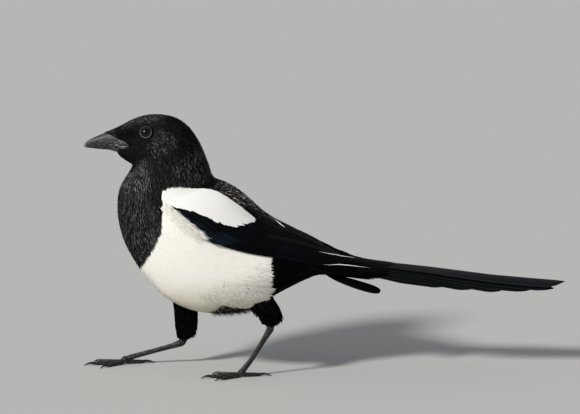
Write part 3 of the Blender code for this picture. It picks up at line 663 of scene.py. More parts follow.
# Coat. Thousands of contour feathers, each a thin arched vane of horn-like barbs on a shaft,
# rooted in the skin and laid back over the next, shortest round the bill and eye and longest
# on the flanks. Black glossy hackles, soft white belly feathers, black vent.
FEATHER_SECTION = np.array(((-1.0, 0.0), (0.0, 1.0), (1.0, 0.0)))
# Heights over the floor below which the belly's white is painted darker and yellower as shade, in
# metres.
BELLY_SHADE_LOW, BELLY_SHADE_HIGH = 0.048, 0.098
# The side of a vane's patch on the unwrap.
PATCH = 0.003


def vane_sums(sums):
    """How far a point is from the shaft and down the vane, and the vane's tone and glint."""
    vane, own = sums.node("ShaderNodeUVMap", {"uv_map": "Vane"}), sums.carried()
    return (abs(vane.part("XYZ", 0) - 0.5), vane.part("XYZ", 1), own.part("Color", 1),
            own.part("Color", 2))


def plumage(name, colours, roughness, depth, barbs=60.0, gloss=0.075):
    """Feathers: every vane has its own tone and fine barbs that slant from a shaft. Black ones
    have a third colour along the shaft where their glint is high: a pale shaft on the throat
    and a painted highlight elsewhere. White ones are painted darker and yellower low on the
    belly, as shade with light thrown up from the ground."""
    material, sums, shader = finish_named(name, Specular_IOR_Level=gloss)
    off_shaft, down, tone, glint = vane_sums(sums)
    middle = 1.0 - off_shaft.between(0.05, 0.30)
    ripple = (down * barbs + off_shaft * barbs * 0.5 + tone * 40.0).wave()
    if len(colours) == 3:
        black, lit, worn = colours
        # Along the shaft the third colour shows where the glint is high: a real pale shaft on the
        # throat, a painted highlight on the breast, crown, cheek and nape.
        shown = glint * (middle * 0.8 + 0.2) * down.between(0.35, 0.8)
        base = shown.mixed(tone.mixed(black, lit), worn)
    else:
        # Painted shade: the white turns darker and yellower low on the belly, as shade with light
        # thrown up from the ground.
        low = 1.0 - sums.spot().part("XYZ", 2).between(BELLY_SHADE_LOW, BELLY_SHADE_HIGH)
        base = (tone * 0.22 + ripple * 0.06 + low * 0.7).mixed(*colours)
    feed(shader, Base_Color=base, Roughness=roughness + (tone - 0.5) * 0.16)
    relief(shader, ripple * 0.5 + middle * 0.5, depth)
    return material


def marked(tone, glint):
    """What each vane carries in plume: its tone and its glint."""
    return np.stack((0 * tone, tone, glint, np.ones(len(tone))), -1)


def vane_mesh(name, spines, outs, halves, rises, plumes, spots, section=FEATHER_SECTION):
    """Closed vanes from arrays: their middle lines, the ways out, half widths and arches. Each
    carries its tone in plume, its own unwrap in Vane and a small patch at its root in OFBake."""
    tangents = unit(np.gradient(spines, axis=1))
    across = unit(np.cross(outs, tangents))
    rise_way = np.cross(tangents, across)
    rings = (spines[:, :, None]
             + across[:, :, None] * (section[:, 0, None] * halves[:, :, None, None])
             + rise_way[:, :, None] * (section[:, 1, None] * rises[:, :, None, None]))
    return ring_mesh(name, rings, section[:, 0] * 0.5 + 0.5, plumes, spots)


def ring_mesh(name, rings, shares, plumes, spots):
    """Closed vanes through rings of points: vane, row along it, point round the row."""
    count, rows, sides = rings.shape[:3]
    first = (np.arange(count) * rows * sides)[:, None, None]
    row = (np.arange(rows - 1) * sides)[None, :, None]
    k = np.arange(sides)[None, None, :]
    turn = (k + 1) % sides
    quads = np.stack((first + row + k, first + row + sides + k, first + row + sides + turn,
                      first + row + turn), -1).reshape(-1, 4)
    ends = np.arange(count)[:, None] * rows * sides
    caps = np.concatenate((ends + np.arange(sides), ends + (rows - 1) * sides
                           + np.arange(sides)[::-1]))
    corners = np.concatenate((quads.ravel(), caps.ravel()))
    starts = np.concatenate((np.arange(len(quads)) * 4,
                             len(quads) * 4 + np.arange(len(caps)) * sides))
    mesh = bpy.data.meshes.new(name)
    mesh.vertices.add(count * rows * sides)
    mesh.vertices.foreach_set("co", metres(rings).astype(np.float32).ravel())
    mesh.loops.add(len(corners))
    mesh.loops.foreach_set("vertex_index", corners.astype(np.int32))
    mesh.polygons.add(len(starts))
    mesh.polygons.foreach_set("loop_start", starts.astype(np.int32))
    mesh.update(calc_edges=True)
    along = np.broadcast_to(np.linspace(0.0, 1.0, rows)[None, :, None], (count, rows, sides))
    aside = np.broadcast_to(shares[None, None], (count, rows, sides))
    own = np.stack((aside, along), -1)
    patch = spots[:, None, None] + (own - 0.5) * PATCH
    for key, values in (("Vane", own), ("OFBake", patch)):
        layer = mesh.uv_layers.new(name=key)
        layer.uv.foreach_set("vector", values.reshape(-1, 2)[corners].astype(np.float32).ravel())
    tint = np.broadcast_to(plumes[:, None, None], (count, rows, sides, 4))
    mesh.attributes.new("plume", "FLOAT_COLOR", "POINT").data.foreach_set(
        "color", tint.astype(np.float32).ravel())
    mesh.shade_smooth()
    return mesh


# Steps that scatter points evenly over a square.
STEP_ALONG, STEP_ROUND = 0.7548776662466927, 0.5698402909980532


def spread_roots(weight, places, angles, count):
    """Evenly scattered places and angles, close where the weight over the grid is high."""
    n = np.arange(count)
    x = (0.5 + n * STEP_ALONG) % 1.0
    y = (0.5 + n * STEP_ROUND) % 1.0
    column = np.concatenate(((0.0,), np.cumsum(weight.sum(1))))
    place = np.interp(x * column[-1], column, places)
    rows = np.clip(np.searchsorted(places, place) - 1, 0, len(weight) - 1)
    inner = np.concatenate((np.zeros((len(weight), 1)), np.cumsum(weight, 1)), 1)
    angle = np.empty(count)
    for i in np.unique(rows):
        own = rows == i
        angle[own] = np.interp(y[own] * inner[i, -1], inner[i], angles)
    return place, angle


def cell_areas(places, angles):
    """The area in square mm of each cell of a grid over the body."""
    p, a = np.meshgrid(places, angles, indexing="ij")
    points = body_bare(p, a)
    down, over = np.diff(points, axis=0)[:, :-1], np.diff(points, axis=1)[:-1]
    return np.linalg.norm(np.cross(down, over), axis=-1)


# The grid over the body on which roots are spread.
GRID_ALONG, GRID_ROUND = 120, 181
# The distance from the middle of the eye that feathers keep, in mm.
EYE_CLEAR = 5.4
# How much feathers differ in length and breadth, how deep roots lie as a share of the coat's
# depth, and how far the whole coat lies under its outer face, in mm.
LENGTH_SPREAD, BREADTH_SPREAD = 0.35, 0.30
ROOT_SINK, COAT_SINK = 0.85, 0.3
# Shapes of vanes: their breadth at five places from the root to the tip.
FEATHER_ROWS = np.linspace(0.0, 1.0, 5)
HACKLE = np.array((0.5, 0.95, 1.0, 0.70, 0.06))
ROUND = np.array((0.6, 0.95, 1.0, 0.88, 0.30))
TUFT = np.array((0.8, 1.0, 0.8, 0.5, 0.05))
LANCE = np.array((0.6, 0.95, 1.0, 0.80, 0.12))
# The bare horn of the gape, as an outline of place and angle.
GAPE_BARE = ((-0.5, 77.0), (0.4, 79.0), (1.0, 84.0), (1.4, 90.0), (1.7, 97.0), (1.4, 104.0),
             (1.0, 111.0), (0.5, 116.0), (-0.5, 119.0))
# The folded wing on the body: place, upper and lower edge as angles.
WING_EDGES = np.array(((8.6, 72.0, 91.0), (9.2, 52.0, 93.0), (10.2, 41.0, 89.0), (11.0, 37.0, 86.0),
                       (12.0, 33.0, 82.5), (12.8, 29.0, 77.5), (13.8, 24.0, 68.0),
                       (14.8, 19.0, 62.0), (15.5, 17.0, 59.5), (16.5, 15.0, 58.0),
                       (17.7, 16.0, 59.0), (19.2, 22.0, 64.0), (20.4, 30.0, 68.0),
                       (21.4, 38.0, 66.0), (22.3, 48.0, 58.0)))
rng = np.random.default_rng(7)


def smooth(value, low, high):
    """Rises from 0 at low to 1 at high."""
    share = np.clip((value - low) / (high - low), 0.0, 1.0)
    return share * share * (3 - 2 * share)


def hump(value, low, high, fall, end):
    """Rises between low and high, and falls back between fall and end."""
    return smooth(value, low, high) * (1 - smooth(value, fall, end))


def wing_angle(place, share):
    """The angle at a share of the wing's breadth, from its lower edge."""
    low = np.interp(place, WING_EDGES[:, 0], WING_EDGES[:, 2])
    high = np.interp(place, WING_EDGES[:, 0], WING_EDGES[:, 1])
    return low + (high - low) * share


def under_wing(place, angle):
    """Well under the folded wing, where no coat shows."""
    share = (unsigned(angle) - wing_angle(place, 0.0)) / (wing_angle(place, 1.0)
                                                          - wing_angle(place, 0.0))
    return (place > 9.6) & (place < 21.8) & (share > 0.12) & (share < 0.88)


def coat_roots(start, end, keep, breadth, closeness):
    """Where the feathers of one piece grow, as places and angles."""
    places = np.linspace(start, end, GRID_ALONG)
    angles = np.linspace(-180.0, 180.0, GRID_ROUND)
    p, a = np.meshgrid((places[:-1] + places[1:]) / 2, (angles[:-1] + angles[1:]) / 2,
                       indexing="ij")
    spacing = table(breadth, p) * closeness
    weight = cell_areas(places, angles) / spacing ** 2 * keep(p, a)
    return spread_roots(weight, places, angles, int(weight.sum()))


def well_laid(spines, at, by, reach, outline, free):
    """Which feathers keep clear of the eye and the gape and on their side of the white."""
    eyes = [body_bare(EYE_PLACE, way * EYE_ANGLE) for way in SIDES.values()]
    far = np.minimum(*[np.linalg.norm(spines - eye, axis=-1).min(1) for eye in eyes])
    sound = (far > EYE_CLEAR) & ~inside(GAPE_BARE, at[:, 2], by[:, 2])
    for row in (2, 3, 4):
        for way in (-1.0, 1.0):
            edge = by[:, row] + way * reach[:, row]
            if outline:
                sound &= inside(outline, at[:, row], edge)
            elif not free:
                sound &= ~white_at(at[:, row], edge)
    return sound


def coat_piece(name, material, start, end, keep, length, breadth, closeness, shape, sway, ruffle,
               arch=0.22, outline=None, raise_by=None, glint=None, turn_to=0.0, soft=0.0, sparse=4,
               free=False):
    """Feathers with their roots between two places and where keep says so. Length and breadth
    are in mm at places along the body, and closeness is the gap between roots as a share of the
    breadth. Sway and turn_to turn each by some degrees, ruffle lifts its tip by up to so many mm,
    and soft flattens it as down. They are white and end inside the outline, or black and, unless
    free, end outside all white."""
    place, angle = coat_roots(start, end, keep, breadth, closeness)
    count = len(place)
    reach = table(length, place) * (1 + LENGTH_SPREAD * (rng.random(count) - 0.5))
    step = 0.05
    pace = np.linalg.norm(body_bare(place + step, angle) - body_bare(place, angle), axis=-1) / step
    around = np.linalg.norm(body_bare(place, angle + 1) - body_bare(place, angle), axis=-1)
    around = np.maximum(around, 0.05)
    turn = np.radians((rng.random(count) - 0.5) * 2 * sway + turn_to * np.sign(angle))
    s = FEATHER_ROWS[None]
    bend = (rng.random(count) - 0.5)[:, None] * 0.02 * sway * s * s
    at = np.minimum(place[:, None] + (reach * np.cos(turn) / pace)[:, None] * s, BODY_END + 0.9)
    by = angle[:, None] + (reach / around)[:, None] * (np.sin(turn)[:, None] * s + bend)
    width = table(breadth, place) / 2 * (1 + BREADTH_SPREAD * (rng.random(count) - 0.5))
    halves = width[:, None] * shape[None]
    depth = table(COAT_DEPTH, place)[:, None]
    over = rng.random(count)[:, None] * ruffle
    lift = -depth * ROOT_SINK * (1 - s) ** (1.5 + 2.5 * soft) - COAT_SINK + over * s ** 2
    if raise_by:
        lift = lift + raise_by(at, by) * (0.35 + 0.65 * smooth(s, 0.0, 0.4))
    spines, outs = on_body(at, by, lift), body_out(at, by)
    rises = halves * arch + 0.10 - 0.06 * soft
    rises[:, -1] = 0.04
    sound = well_laid(spines, at, by, halves * 0.8 / around[:, None], outline, free)
    if not raise_by:
        sound &= ~(under_wing(at, by)[:, ::2].all(1))
    tone, spark = rng.random((count, 2)).T
    shine = glint(at[:, 3], by[:, 3]) if glint else 0.0 * place
    # Black feathers are painted up toward the lit black where the glint is high, as a painted sheen,
    # and stay near black elsewhere.
    if not outline:
        tone = tone * np.clip(0.12 + 2.4 * shine, 0.0, 1.0)
    plumes = marked(tone, shine * (0.02 + 0.98 * spark ** sparse))
    mesh = vane_mesh(name, spines[sound], outs[sound], halves[sound], rises[sound],
                     plumes[sound], spot_of(place, angle)[sound])
    if soft:
        own = np.empty(len(mesh.vertices) * 3, np.float32)
        mesh.vertices.foreach_get("normal", own)
        outward = np.repeat(outs[sound].reshape(-1, 3), len(FEATHER_SECTION), axis=0)
        mesh.normals_split_custom_set_from_vertices(
            unit(own.reshape(-1, 3) * (1 - soft) + outward * soft))
    else:
        mesh.set_sharp_from_angle(angle=math.radians(60))
    return place_in_scene(name, mesh, material)


def even(value):
    """A height, or a share of feathers kept, that is the same everywhere."""
    return lambda place, angle: value + 0 * place


def shafts_and_painted_glints(place, angle):
    """Pale shafts on the throat, and painted highlights of sun on black feathers on the front
    of the breast, the crown, the cheek and the nape.
    """
    a = unsigned(angle)
    throat = hump(place, 4.4, 5.6, 7.4, 8.8) * smooth(a, 96.0, 122.0)
    front = 0.40 * hump(place, 7.0, 8.5, 11.5, 13.0) * smooth(a, 95.0, 125.0)
    crown = 0.65 * (1 - smooth(place, 3.4, 4.6)) * (1 - smooth(a, 26.0, 46.0))
    cheek = 0.45 * hump(place, 3.9, 4.6, 5.6, 6.6) * hump(a, 45.0, 62.0, 88.0, 100.0)
    nape = 0.35 * hump(place, 6.5, 7.5, 8.6, 9.4) * (1 - smooth(a, 60.0, 90.0))
    return np.maximum.reduce((throat, front, crown, cheek, nape)) + 0.06


def mantle_glint(place, angle):
    """Worn grey-brown feather edges on the mantle, between the white patches."""
    return hump(place, 9.2, 10.2, 13.6, 14.6) * (1 - smooth(unsigned(angle), 34.0, 44.0))


def shoulder(place, angle):
    """How far the scapulars stand over the body, as they lie on the folded wing."""
    return (0.4 + 5.4 * smooth(place, 8.5, 10.6)) * smooth(unsigned(angle), 22.0, 50.0) + 0.4


# Loose white ends that reach past the edge of the white, and those that hang over the thigh.
WHITE_WISPS = tuple((x + 0.08 if x > 14.0 else x, y) for x, y in WHITE_UNDERPARTS)
OVER_THIGH = ((12.0, 60.0), (16.8, 60.0), (16.95, 181.0), (12.0, 181.0))


def near_vent(place, angle):
    """Where the white ends: toward the vent and along the middle of the belly."""
    return inside(WHITE_UNDERPARTS, place + 0.3, angle) * (
        smooth(place, 14.6, 15.8) + 0.5 * smooth(unsigned(angle), 150.0, 170.0))


def over_thigh(place, angle):
    """The height of the thigh over the body where it comes out of the belly."""
    return 0.3 + 4.6 * smooth(place, 14.9, 16.2) * smooth(unsigned(angle), 96.0, 108.0)


dark_plumage = plumage("dark_plumage", ((0.0005, 0.0005, 0.0006), (0.0012, 0.0012, 0.0014),
                                        (0.05, 0.05, 0.052)), roughness=0.6, depth=0.3, gloss=0.03)
# Its third colour is both the pale shafts of the throat and the painted highlights on black feathers.
black_plumage = plumage("black_plumage", ((0.0005, 0.0005, 0.0008), (0.0035, 0.0035, 0.0047),
                                          (0.46, 0.46, 0.47)), roughness=0.46, depth=0.35)
worn_plumage = plumage("worn_plumage", ((0.001, 0.001, 0.0013), (0.008, 0.008, 0.009),
                                        (0.88, 0.84, 0.76)), roughness=0.5, depth=0.35)
# The soft white's second colour is the painted shade of the lower belly.
soft_plumage = plumage("soft_plumage", ((0.88, 0.875, 0.835), (0.68, 0.62, 0.45)),
                       roughness=0.85, depth=0.06, barbs=50.0)
white_plumage = plumage("white_plumage", ((0.88, 0.88, 0.855), (0.78, 0.78, 0.76)),
                        roughness=0.8, depth=0.15, barbs=90.0)
coat_piece("coat_head", black_plumage, 0.02, 3.6, even(1.0),
           length=((0.0, 2.4), (1.5, 2.8), (3.6, 3.6)),
           breadth=((0.0, 0.62), (1.5, 0.7), (3.6, 0.85)),
           closeness=0.90, shape=HACKLE, sway=9.0, ruffle=0.40, glint=shafts_and_painted_glints)
coat_piece("coat_nape", black_plumage, 3.6, 6.2, even(1.0),
           length=((3.6, 3.8), (5.0, 5.5), (6.2, 6.8)),
           breadth=((3.6, 0.88), (5.0, 1.0), (6.2, 1.2)),
           closeness=0.88, shape=HACKLE, sway=9.0, ruffle=0.5, glint=shafts_and_painted_glints)
coat_piece("coat_neck", black_plumage, 6.2, 9.0, even(1.0),
           length=((6.2, 7.0), (9.0, 8.0)), breadth=((6.2, 1.25), (9.0, 1.4)),
           closeness=0.80, shape=HACKLE, sway=9.0, ruffle=0.7, glint=shafts_and_painted_glints)
coat_piece("coat_breast", black_plumage, 9.0, 13.2, lambda p, a: unsigned(a) > 60.0,
           length=((9.0, 8.0), (13.0, 9.0)), breadth=((9.0, 1.5), (13.0, 1.7)),
           closeness=0.76, shape=HACKLE, sway=9.0, ruffle=0.7, glint=shafts_and_painted_glints)
coat_piece("coat_mantle", worn_plumage, 8.6, 14.4, lambda p, a: unsigned(a) <= 60.0,
           length=((8.6, 6.0), (13.0, 8.0)), breadth=((8.6, 1.4), (13.0, 2.2)),
           closeness=0.66, shape=HACKLE, sway=11.0, ruffle=1.0, glint=mantle_glint, sparse=9)
coat_piece("coat_vent", dark_plumage, 13.0, 19.4, lambda p, a: (unsigned(a) > 55.0) | (p > 14.4),
           length=((13.0, 12.0), (18.0, 13.0), (19.5, 14.0)), breadth=((13.0, 2.2), (19.5, 2.4)),
           closeness=0.74, shape=HACKLE, sway=9.0, ruffle=0.6)
coat_piece("coat_under_tail", dark_plumage, 18.6, 21.0, lambda p, a: unsigned(a) > 60.0,
           length=((18.6, 20.0), (21.0, 22.0)), breadth=((18.6, 4.0), (21.0, 4.4)),
           closeness=0.62, shape=ROUND, sway=4.0, ruffle=0.2)
coat_piece("coat_rump", black_plumage, 16.8, 21.3, lambda p, a: unsigned(a) < 84.0,
           length=((16.8, 12.0), (21.7, 18.0)), breadth=((16.8, 2.6), (21.7, 3.4)),
           closeness=0.62, shape=LANCE, sway=6.0, ruffle=0.3, raise_by=even(0.0))
for name, start, end in (("coat_belly_front", 7.6, 12.9), ("coat_belly_rear", 12.9, 17.0)):
    coat_piece(name, soft_plumage, start, end, lambda p, a: inside(WHITE_UNDERPARTS, p + 0.4, a),
               length=((8.0, 7.0), (11.0, 10.0), (17.0, 11.0)),
               breadth=((8.0, 1.9), (11.0, 2.8), (17.0, 2.8)),
               closeness=0.53, shape=LANCE, sway=3.0, ruffle=0.05, arch=0.05,
               outline=WHITE_UNDERPARTS, soft=1.0)
coat_piece("coat_wisps", soft_plumage, 12.0, 17.0, near_vent,
           length=((12.0, 7.0), (17.0, 9.0)), breadth=((12.0, 0.5), (17.0, 0.6)),
           closeness=1.95, shape=TUFT, sway=12.0, ruffle=0.5, arch=0.15, outline=WHITE_WISPS,
           raise_by=even(0.12), soft=1.0)
coat_piece("coat_over_thigh", soft_plumage, 14.2, 16.6,
           lambda p, a: (unsigned(a) > 98.0) & (unsigned(a) < 126.0),
           length=((14.0, 10.0), (17.0, 9.0)), breadth=((14.0, 1.7), (17.0, 1.7)),
           closeness=0.68, shape=TUFT, sway=10.0, ruffle=0.5, arch=0.08, outline=OVER_THIGH,
           raise_by=over_thigh, turn_to=14.0, soft=1.0)
coat_piece("scapulars", white_plumage, 7.6, 13.2, lambda p, a: inside(WHITE_SCAPULARS, p + 0.45, a),
           length=((7.7, 4.5), (9.5, 6.5), (13.2, 6.5)),
           breadth=((7.7, 1.4), (9.5, 1.7), (13.2, 1.5)),
           closeness=0.52, shape=ROUND, sway=2.5, ruffle=0.12, arch=0.08, outline=WHITE_SCAPULARS,
           raise_by=shoulder, turn_to=-17.0, soft=0.85)

# Nasal bristles. Stiff, hair-thin black feathers lie forward from the forehead over the root of
# the bill and hide the nostrils. Each grows out of the skin and bends down onto the horn.
BRISTLES = 1700
BRISTLE_HALF = 0.26
# Where they grow: how many places back, to what angle on each side, and how deep, in mm.
BRISTLE_ROOTS, BRISTLE_SPREAD, BRISTLE_SINK = 1.6, 78.0, 0.4
# How far forward the bristles reach, in mm, and how much less at the sides.
BRISTLE_END, BRISTLE_BACK = 192.5, 14.0
root_place = rng.random(BRISTLES) * BRISTLE_ROOTS + 0.05
root_angle = (rng.random(BRISTLES) * 2 - 1) * BRISTLE_SPREAD
root = on_body(root_place, root_angle, np.full(BRISTLES, -BRISTLE_SINK))
bill = smooth_rows(BILL, 60)
bill = bill[np.argsort(bill[:, 0])]
low_down = np.abs(root_angle) / BRISTLE_SPREAD
end_x = BRISTLE_END - BRISTLE_BACK * low_down ** 2 - root_place
end_x -= (10.0 - 6.0 * low_down) * rng.random(BRISTLES)
s = FEATHER_ROWS[None]
x = root[:, :1] + (end_x[:, None] - root[:, :1]) * s
ridge, mouth, wide = (np.interp(x, bill[:, 0], bill[:, k]) for k in (1, 2, 4))
fan = (rng.random(BRISTLES) - 0.5)[:, None] * 14.0 * s
over = np.radians(90.0 - (np.abs(root_angle)[:, None] * 0.95 + fan))
over = np.clip(over, 0.12, np.pi - 0.12)
clear = 0.2 + 0.4 * rng.random(BRISTLES)[:, None]
y = (wide + clear) * np.cos(over) * np.sign(root_angle)[:, None]
z = mouth + (ridge - mouth) * np.sin(over) ** 0.8 + clear * np.sin(over)
laid = np.stack((x, y, z), -1)
part = smooth(s, 0.0, 0.75)[..., None]
straight = root[:, None] + (laid[:, -1:] - root[:, None]) * s[..., None]
straight += body_out(root_place, root_angle)[:, None] * (0.3 * np.sin(np.pi * s))[..., None]
spines = straight * (1 - part) + laid * part
outs = unit(np.stack((0.25 + 0 * x, np.cos(over) * np.sign(root_angle)[:, None], np.sin(over)), -1))
halves = np.full((BRISTLES, 1), BRISTLE_HALF) * TUFT[None]
tone, spark = rng.random((BRISTLES, 2)).T
mesh = vane_mesh("bristles", spines, outs, halves, halves * 0.5 + 0.05,
                 marked(tone, 0.6 * spark ** 6), spot_of(root_place, root_angle))
place_in_scene("bristles", mesh, black_plumage)

# Thighs. Short black feathers cover each thigh down to the heel, laid down the leg, with hairy
# ends that stand a little off it. The skin under them follows the limb.
GOLDEN_SHARE = 0.618034


def leg_roots(node, count, sink):
    """Evenly scattered points at a depth in a limb, in mm, and the ways out of it."""
    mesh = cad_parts[node].data
    mesh.calc_loop_triangles()
    points = np.array([v.co for v in mesh.vertices]) / MM + np.array((MIDDLE_X, 0.0, 0.0))
    corners = points[np.array([t.vertices for t in mesh.loop_triangles])]
    faces = np.cross(corners[:, 1] - corners[:, 0], corners[:, 2] - corners[:, 0])
    areas = np.linalg.norm(faces, axis=-1)
    n = np.arange(count)
    pick = np.searchsorted(np.cumsum(areas), ((n * GOLDEN_SHARE + 0.5) % 1.0) * areas.sum())
    pick = np.minimum(pick, len(areas) - 1)
    u, v = rng.random(count), rng.random(count)
    over = u + v > 1
    u[over], v[over] = 1 - u[over], 1 - v[over]
    a, b, c = corners[pick, 0], corners[pick, 1], corners[pick, 2]
    root = a + (b - a) * u[:, None] + (c - a) * v[:, None]
    return root - unit(faces[pick]) * sink, unit(faces[pick])


THIGH_FEATHERS = 3500
THIGH_LENGTH = 8.0
THIGH_SINK = 1.0
HEEL_CLEAR = 3.0
for word in SIDES:
    node = f"thigh_{word}"
    root, out = leg_roots(node, THIGH_FEATHERS, THIGH_SINK)
    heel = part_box(node)[0][2] / MM + HEEL_CLEAR
    lie = np.tile(-UP, (len(root), 1))
    lie[:, 0] += (rng.random(len(root)) - 0.5) * 0.4 - 0.25
    lie[:, 1] += (rng.random(len(root)) - 0.5) * 0.3
    lie = unit(lie - out * (lie * out).sum(-1, keepdims=True))
    length = THIGH_LENGTH * (0.6 + 0.6 * rng.random(len(root)))
    length = np.minimum(length, np.maximum(root[:, 2] - heel, 2.0) + 2.5)
    s = FEATHER_ROWS[None, :, None]
    raised = (0.1 + 0.6 * rng.random(len(root)))[:, None, None]
    spines = root[:, None] + lie[:, None] * length[:, None, None] * s + out[:, None] * raised * s
    outs = np.broadcast_to(out[:, None], spines.shape)
    halves = (0.4 + 0.2 * rng.random(len(root)))[:, None] * HACKLE[None]
    tone, spark = rng.random((len(root), 2)).T
    mesh = vane_mesh(f"coat_thigh_{word}", spines, outs, halves, halves * 0.35 + 0.08,
                     marked(tone * 0.5, spark ** 8 * 0.5), thigh_spot(metres(root)))
    place_in_scene(f"coat_thigh_{word}", mesh, dark_plumage)

# Wings. Each folded wing lies on the side of the body: primaries at the bottom, then
# secondaries and tertials, coverts over their roots, and the white scapulars over all of them.
QUILL_SECTION = np.array(((-1.0, 0.0), (-0.5, 0.75), (-0.08, 0.95), (0.0, 1.25), (0.08, 0.95),
                          (0.5, 0.75), (1.0, 0.0), (0.0, 0.45)))


def wing_breadth(place):
    """The breadth of the folded wing in mm at places along the body."""
    return np.linalg.norm(body_bare(place, wing_angle(place, 1.0 + 0 * place))
                          - body_bare(place, wing_angle(place, 0.0 * place)), axis=-1)


def wing_vanes(place, share, lift, roll):
    """Middle lines and ways out of vanes on the left wing, from arrays of vane and row."""
    angle = wing_angle(place, share)
    spines = on_body(place, angle, lift)
    outs = body_out(place, angle)
    tangents = unit(np.gradient(spines, axis=1))
    across = unit(np.cross(outs, tangents))
    lean = np.radians(roll)[..., None]
    return spines, unit(outs * np.cos(lean) + across * np.sin(lean))


def turn_outward(mesh):
    """Turns the faces of closed vanes outward."""
    turned = bmesh.new()
    turned.from_mesh(mesh)
    bmesh.ops.recalc_face_normals(turned, faces=turned.faces)
    turned.to_mesh(mesh)
    turned.free()


def both_wings(name, spines, outs, halves, rises, plumes, spots, material):
    """The same vanes on both sides, each side its own piece."""
    pieces = []
    for word, side in SIDES.items():
        flip = np.array((1.0, side, 1.0))
        own = spots.copy()
        own[:, 1] = 0.5 + (own[:, 1] - 0.5) * side
        mesh = vane_mesh(f"{name}_{word}", spines * flip, outs * flip, halves, rises, plumes, own,
                         QUILL_SECTION)
        if side < 0:
            turn_outward(mesh)
        mesh.set_sharp_from_angle(angle=math.radians(50))
        pieces.append(place_in_scene(f"{name}_{word}", mesh, material))
    return pieces


def glossy_plumage(name, tint, far_tint, metallic, roughness, barbs):
    """Quills: near-black barbs with the blue, green and purple gloss of thin horn."""
    material, sums, shader = finish_named(name, Specular_IOR_Level=0.05)
    off_shaft, down, tone, edge = vane_sums(sums)
    hue = sums.noise(28.0, 3.0, Vector=sums.spot()).between(0.38, 0.66)
    base = (tone * 0.4).mixed(hue.mixed(tint, far_tint), (0.003, 0.003, 0.003))
    rim = (off_shaft * 2.0).between(0.90, 0.99) * edge
    base = rim.mixed(base, (0.06, 0.056, 0.047))
    ripple = (down * barbs + off_shaft * barbs * 0.35).wave()
    feed(shader, Base_Color=base, Metallic=(1.0 - rim) * metallic,
         Roughness=roughness + (tone - 0.5) * 0.15 + ripple * 0.06)
    relief(shader, ripple, 0.4)
    return material


wing_gloss = glossy_plumage("wing_plumage", (0.0008, 0.0009, 0.0013), (0.0012, 0.0017, 0.0034),
                            metallic=0.1, roughness=0.44, barbs=420.0)
wing_blue = glossy_plumage("alula_plumage", (0.0015, 0.0025, 0.004), (0.005, 0.014, 0.022),
                           metallic=0.3, roughness=0.38, barbs=420.0)

# Quills: how many, where their tips lie, the breadth of a vane, how far its one edge stands over
# the other, and its thickness, in mm.
PRIMARIES, SECONDARIES, TERTIALS = 7, 7, 3
QUILLS = PRIMARIES + SECONDARIES + TERTIALS
tips = np.concatenate((np.linspace(19.0, 22.3, PRIMARIES), np.linspace(17.6, 19.0, SECONDARIES),
                       np.array((15.9, 16.8, 17.6))))
QUILL_ROWS = 16
QUILL_BREADTH, TERTIAL_BREADTH = 8.6, 12.0
QUILL_TILT = 2.4
QUILL_THICK = 0.42
s = np.linspace(0.0, 1.0, QUILL_ROWS)[None]
start = np.linspace(11.6, 12.2, QUILLS)[:, None]
place = start + (tips[:, None] - start) * s
order = np.arange(QUILLS)[:, None]
primary = order < PRIMARIES
fan = np.where(primary, smooth(place, 17.4, 20.6), 0.0)
count = QUILLS + (PRIMARIES - QUILLS) * fan
breadth = wing_breadth(place)
widest = np.where(order < QUILLS - TERTIALS, QUILL_BREADTH, TERTIAL_BREADTH)
half = np.minimum(widest, breadth * 0.6) / 2
lower = (order + 0.1) / count
tip_taper = np.clip(1 - smooth(s, 0.90, 1.0) * 0.85 - smooth(s, 0.70, 0.95) * 0.15, 0.06, 1.0)
share = lower + half / breadth * (0.3 + 0.7 * tip_taper)
flat = 1 - smooth(share, 0.55, 0.95)
lift = (0.9 + 0.6 * (1 - s)) * (0.15 + 0.85 * flat) - 0.8 * (1 - flat)
rise = QUILL_TILT * np.minimum(1.0, half / 4.0) * (0.3 + 0.7 * flat)
roll = -np.degrees(np.arctan2(rise, 2 * half))
spines, outs = wing_vanes(place, share, lift + rise / 2, roll)
halves = half * tip_taper
rises = np.full(place.shape, QUILL_THICK) * (0.4 + 0.6 * tip_taper)
plumes = marked(rng.random(QUILLS), 0.05 + 0.7 * rng.random(QUILLS) ** 3)
quills = both_wings("quills", spines, outs, halves, rises, plumes,
                    spot_of(place[:, 8], wing_angle(place, share)[:, 8]), wing_gloss)
for piece, word in zip(quills, SIDES):
    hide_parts(f"wing_{word}")

COVERT_SHAPE = np.array((0.6, 0.85, 1.0, 1.0, 0.92, 0.7, 0.15))
COVERT_ROLL = -9.0
COVERT_THICK = 0.5
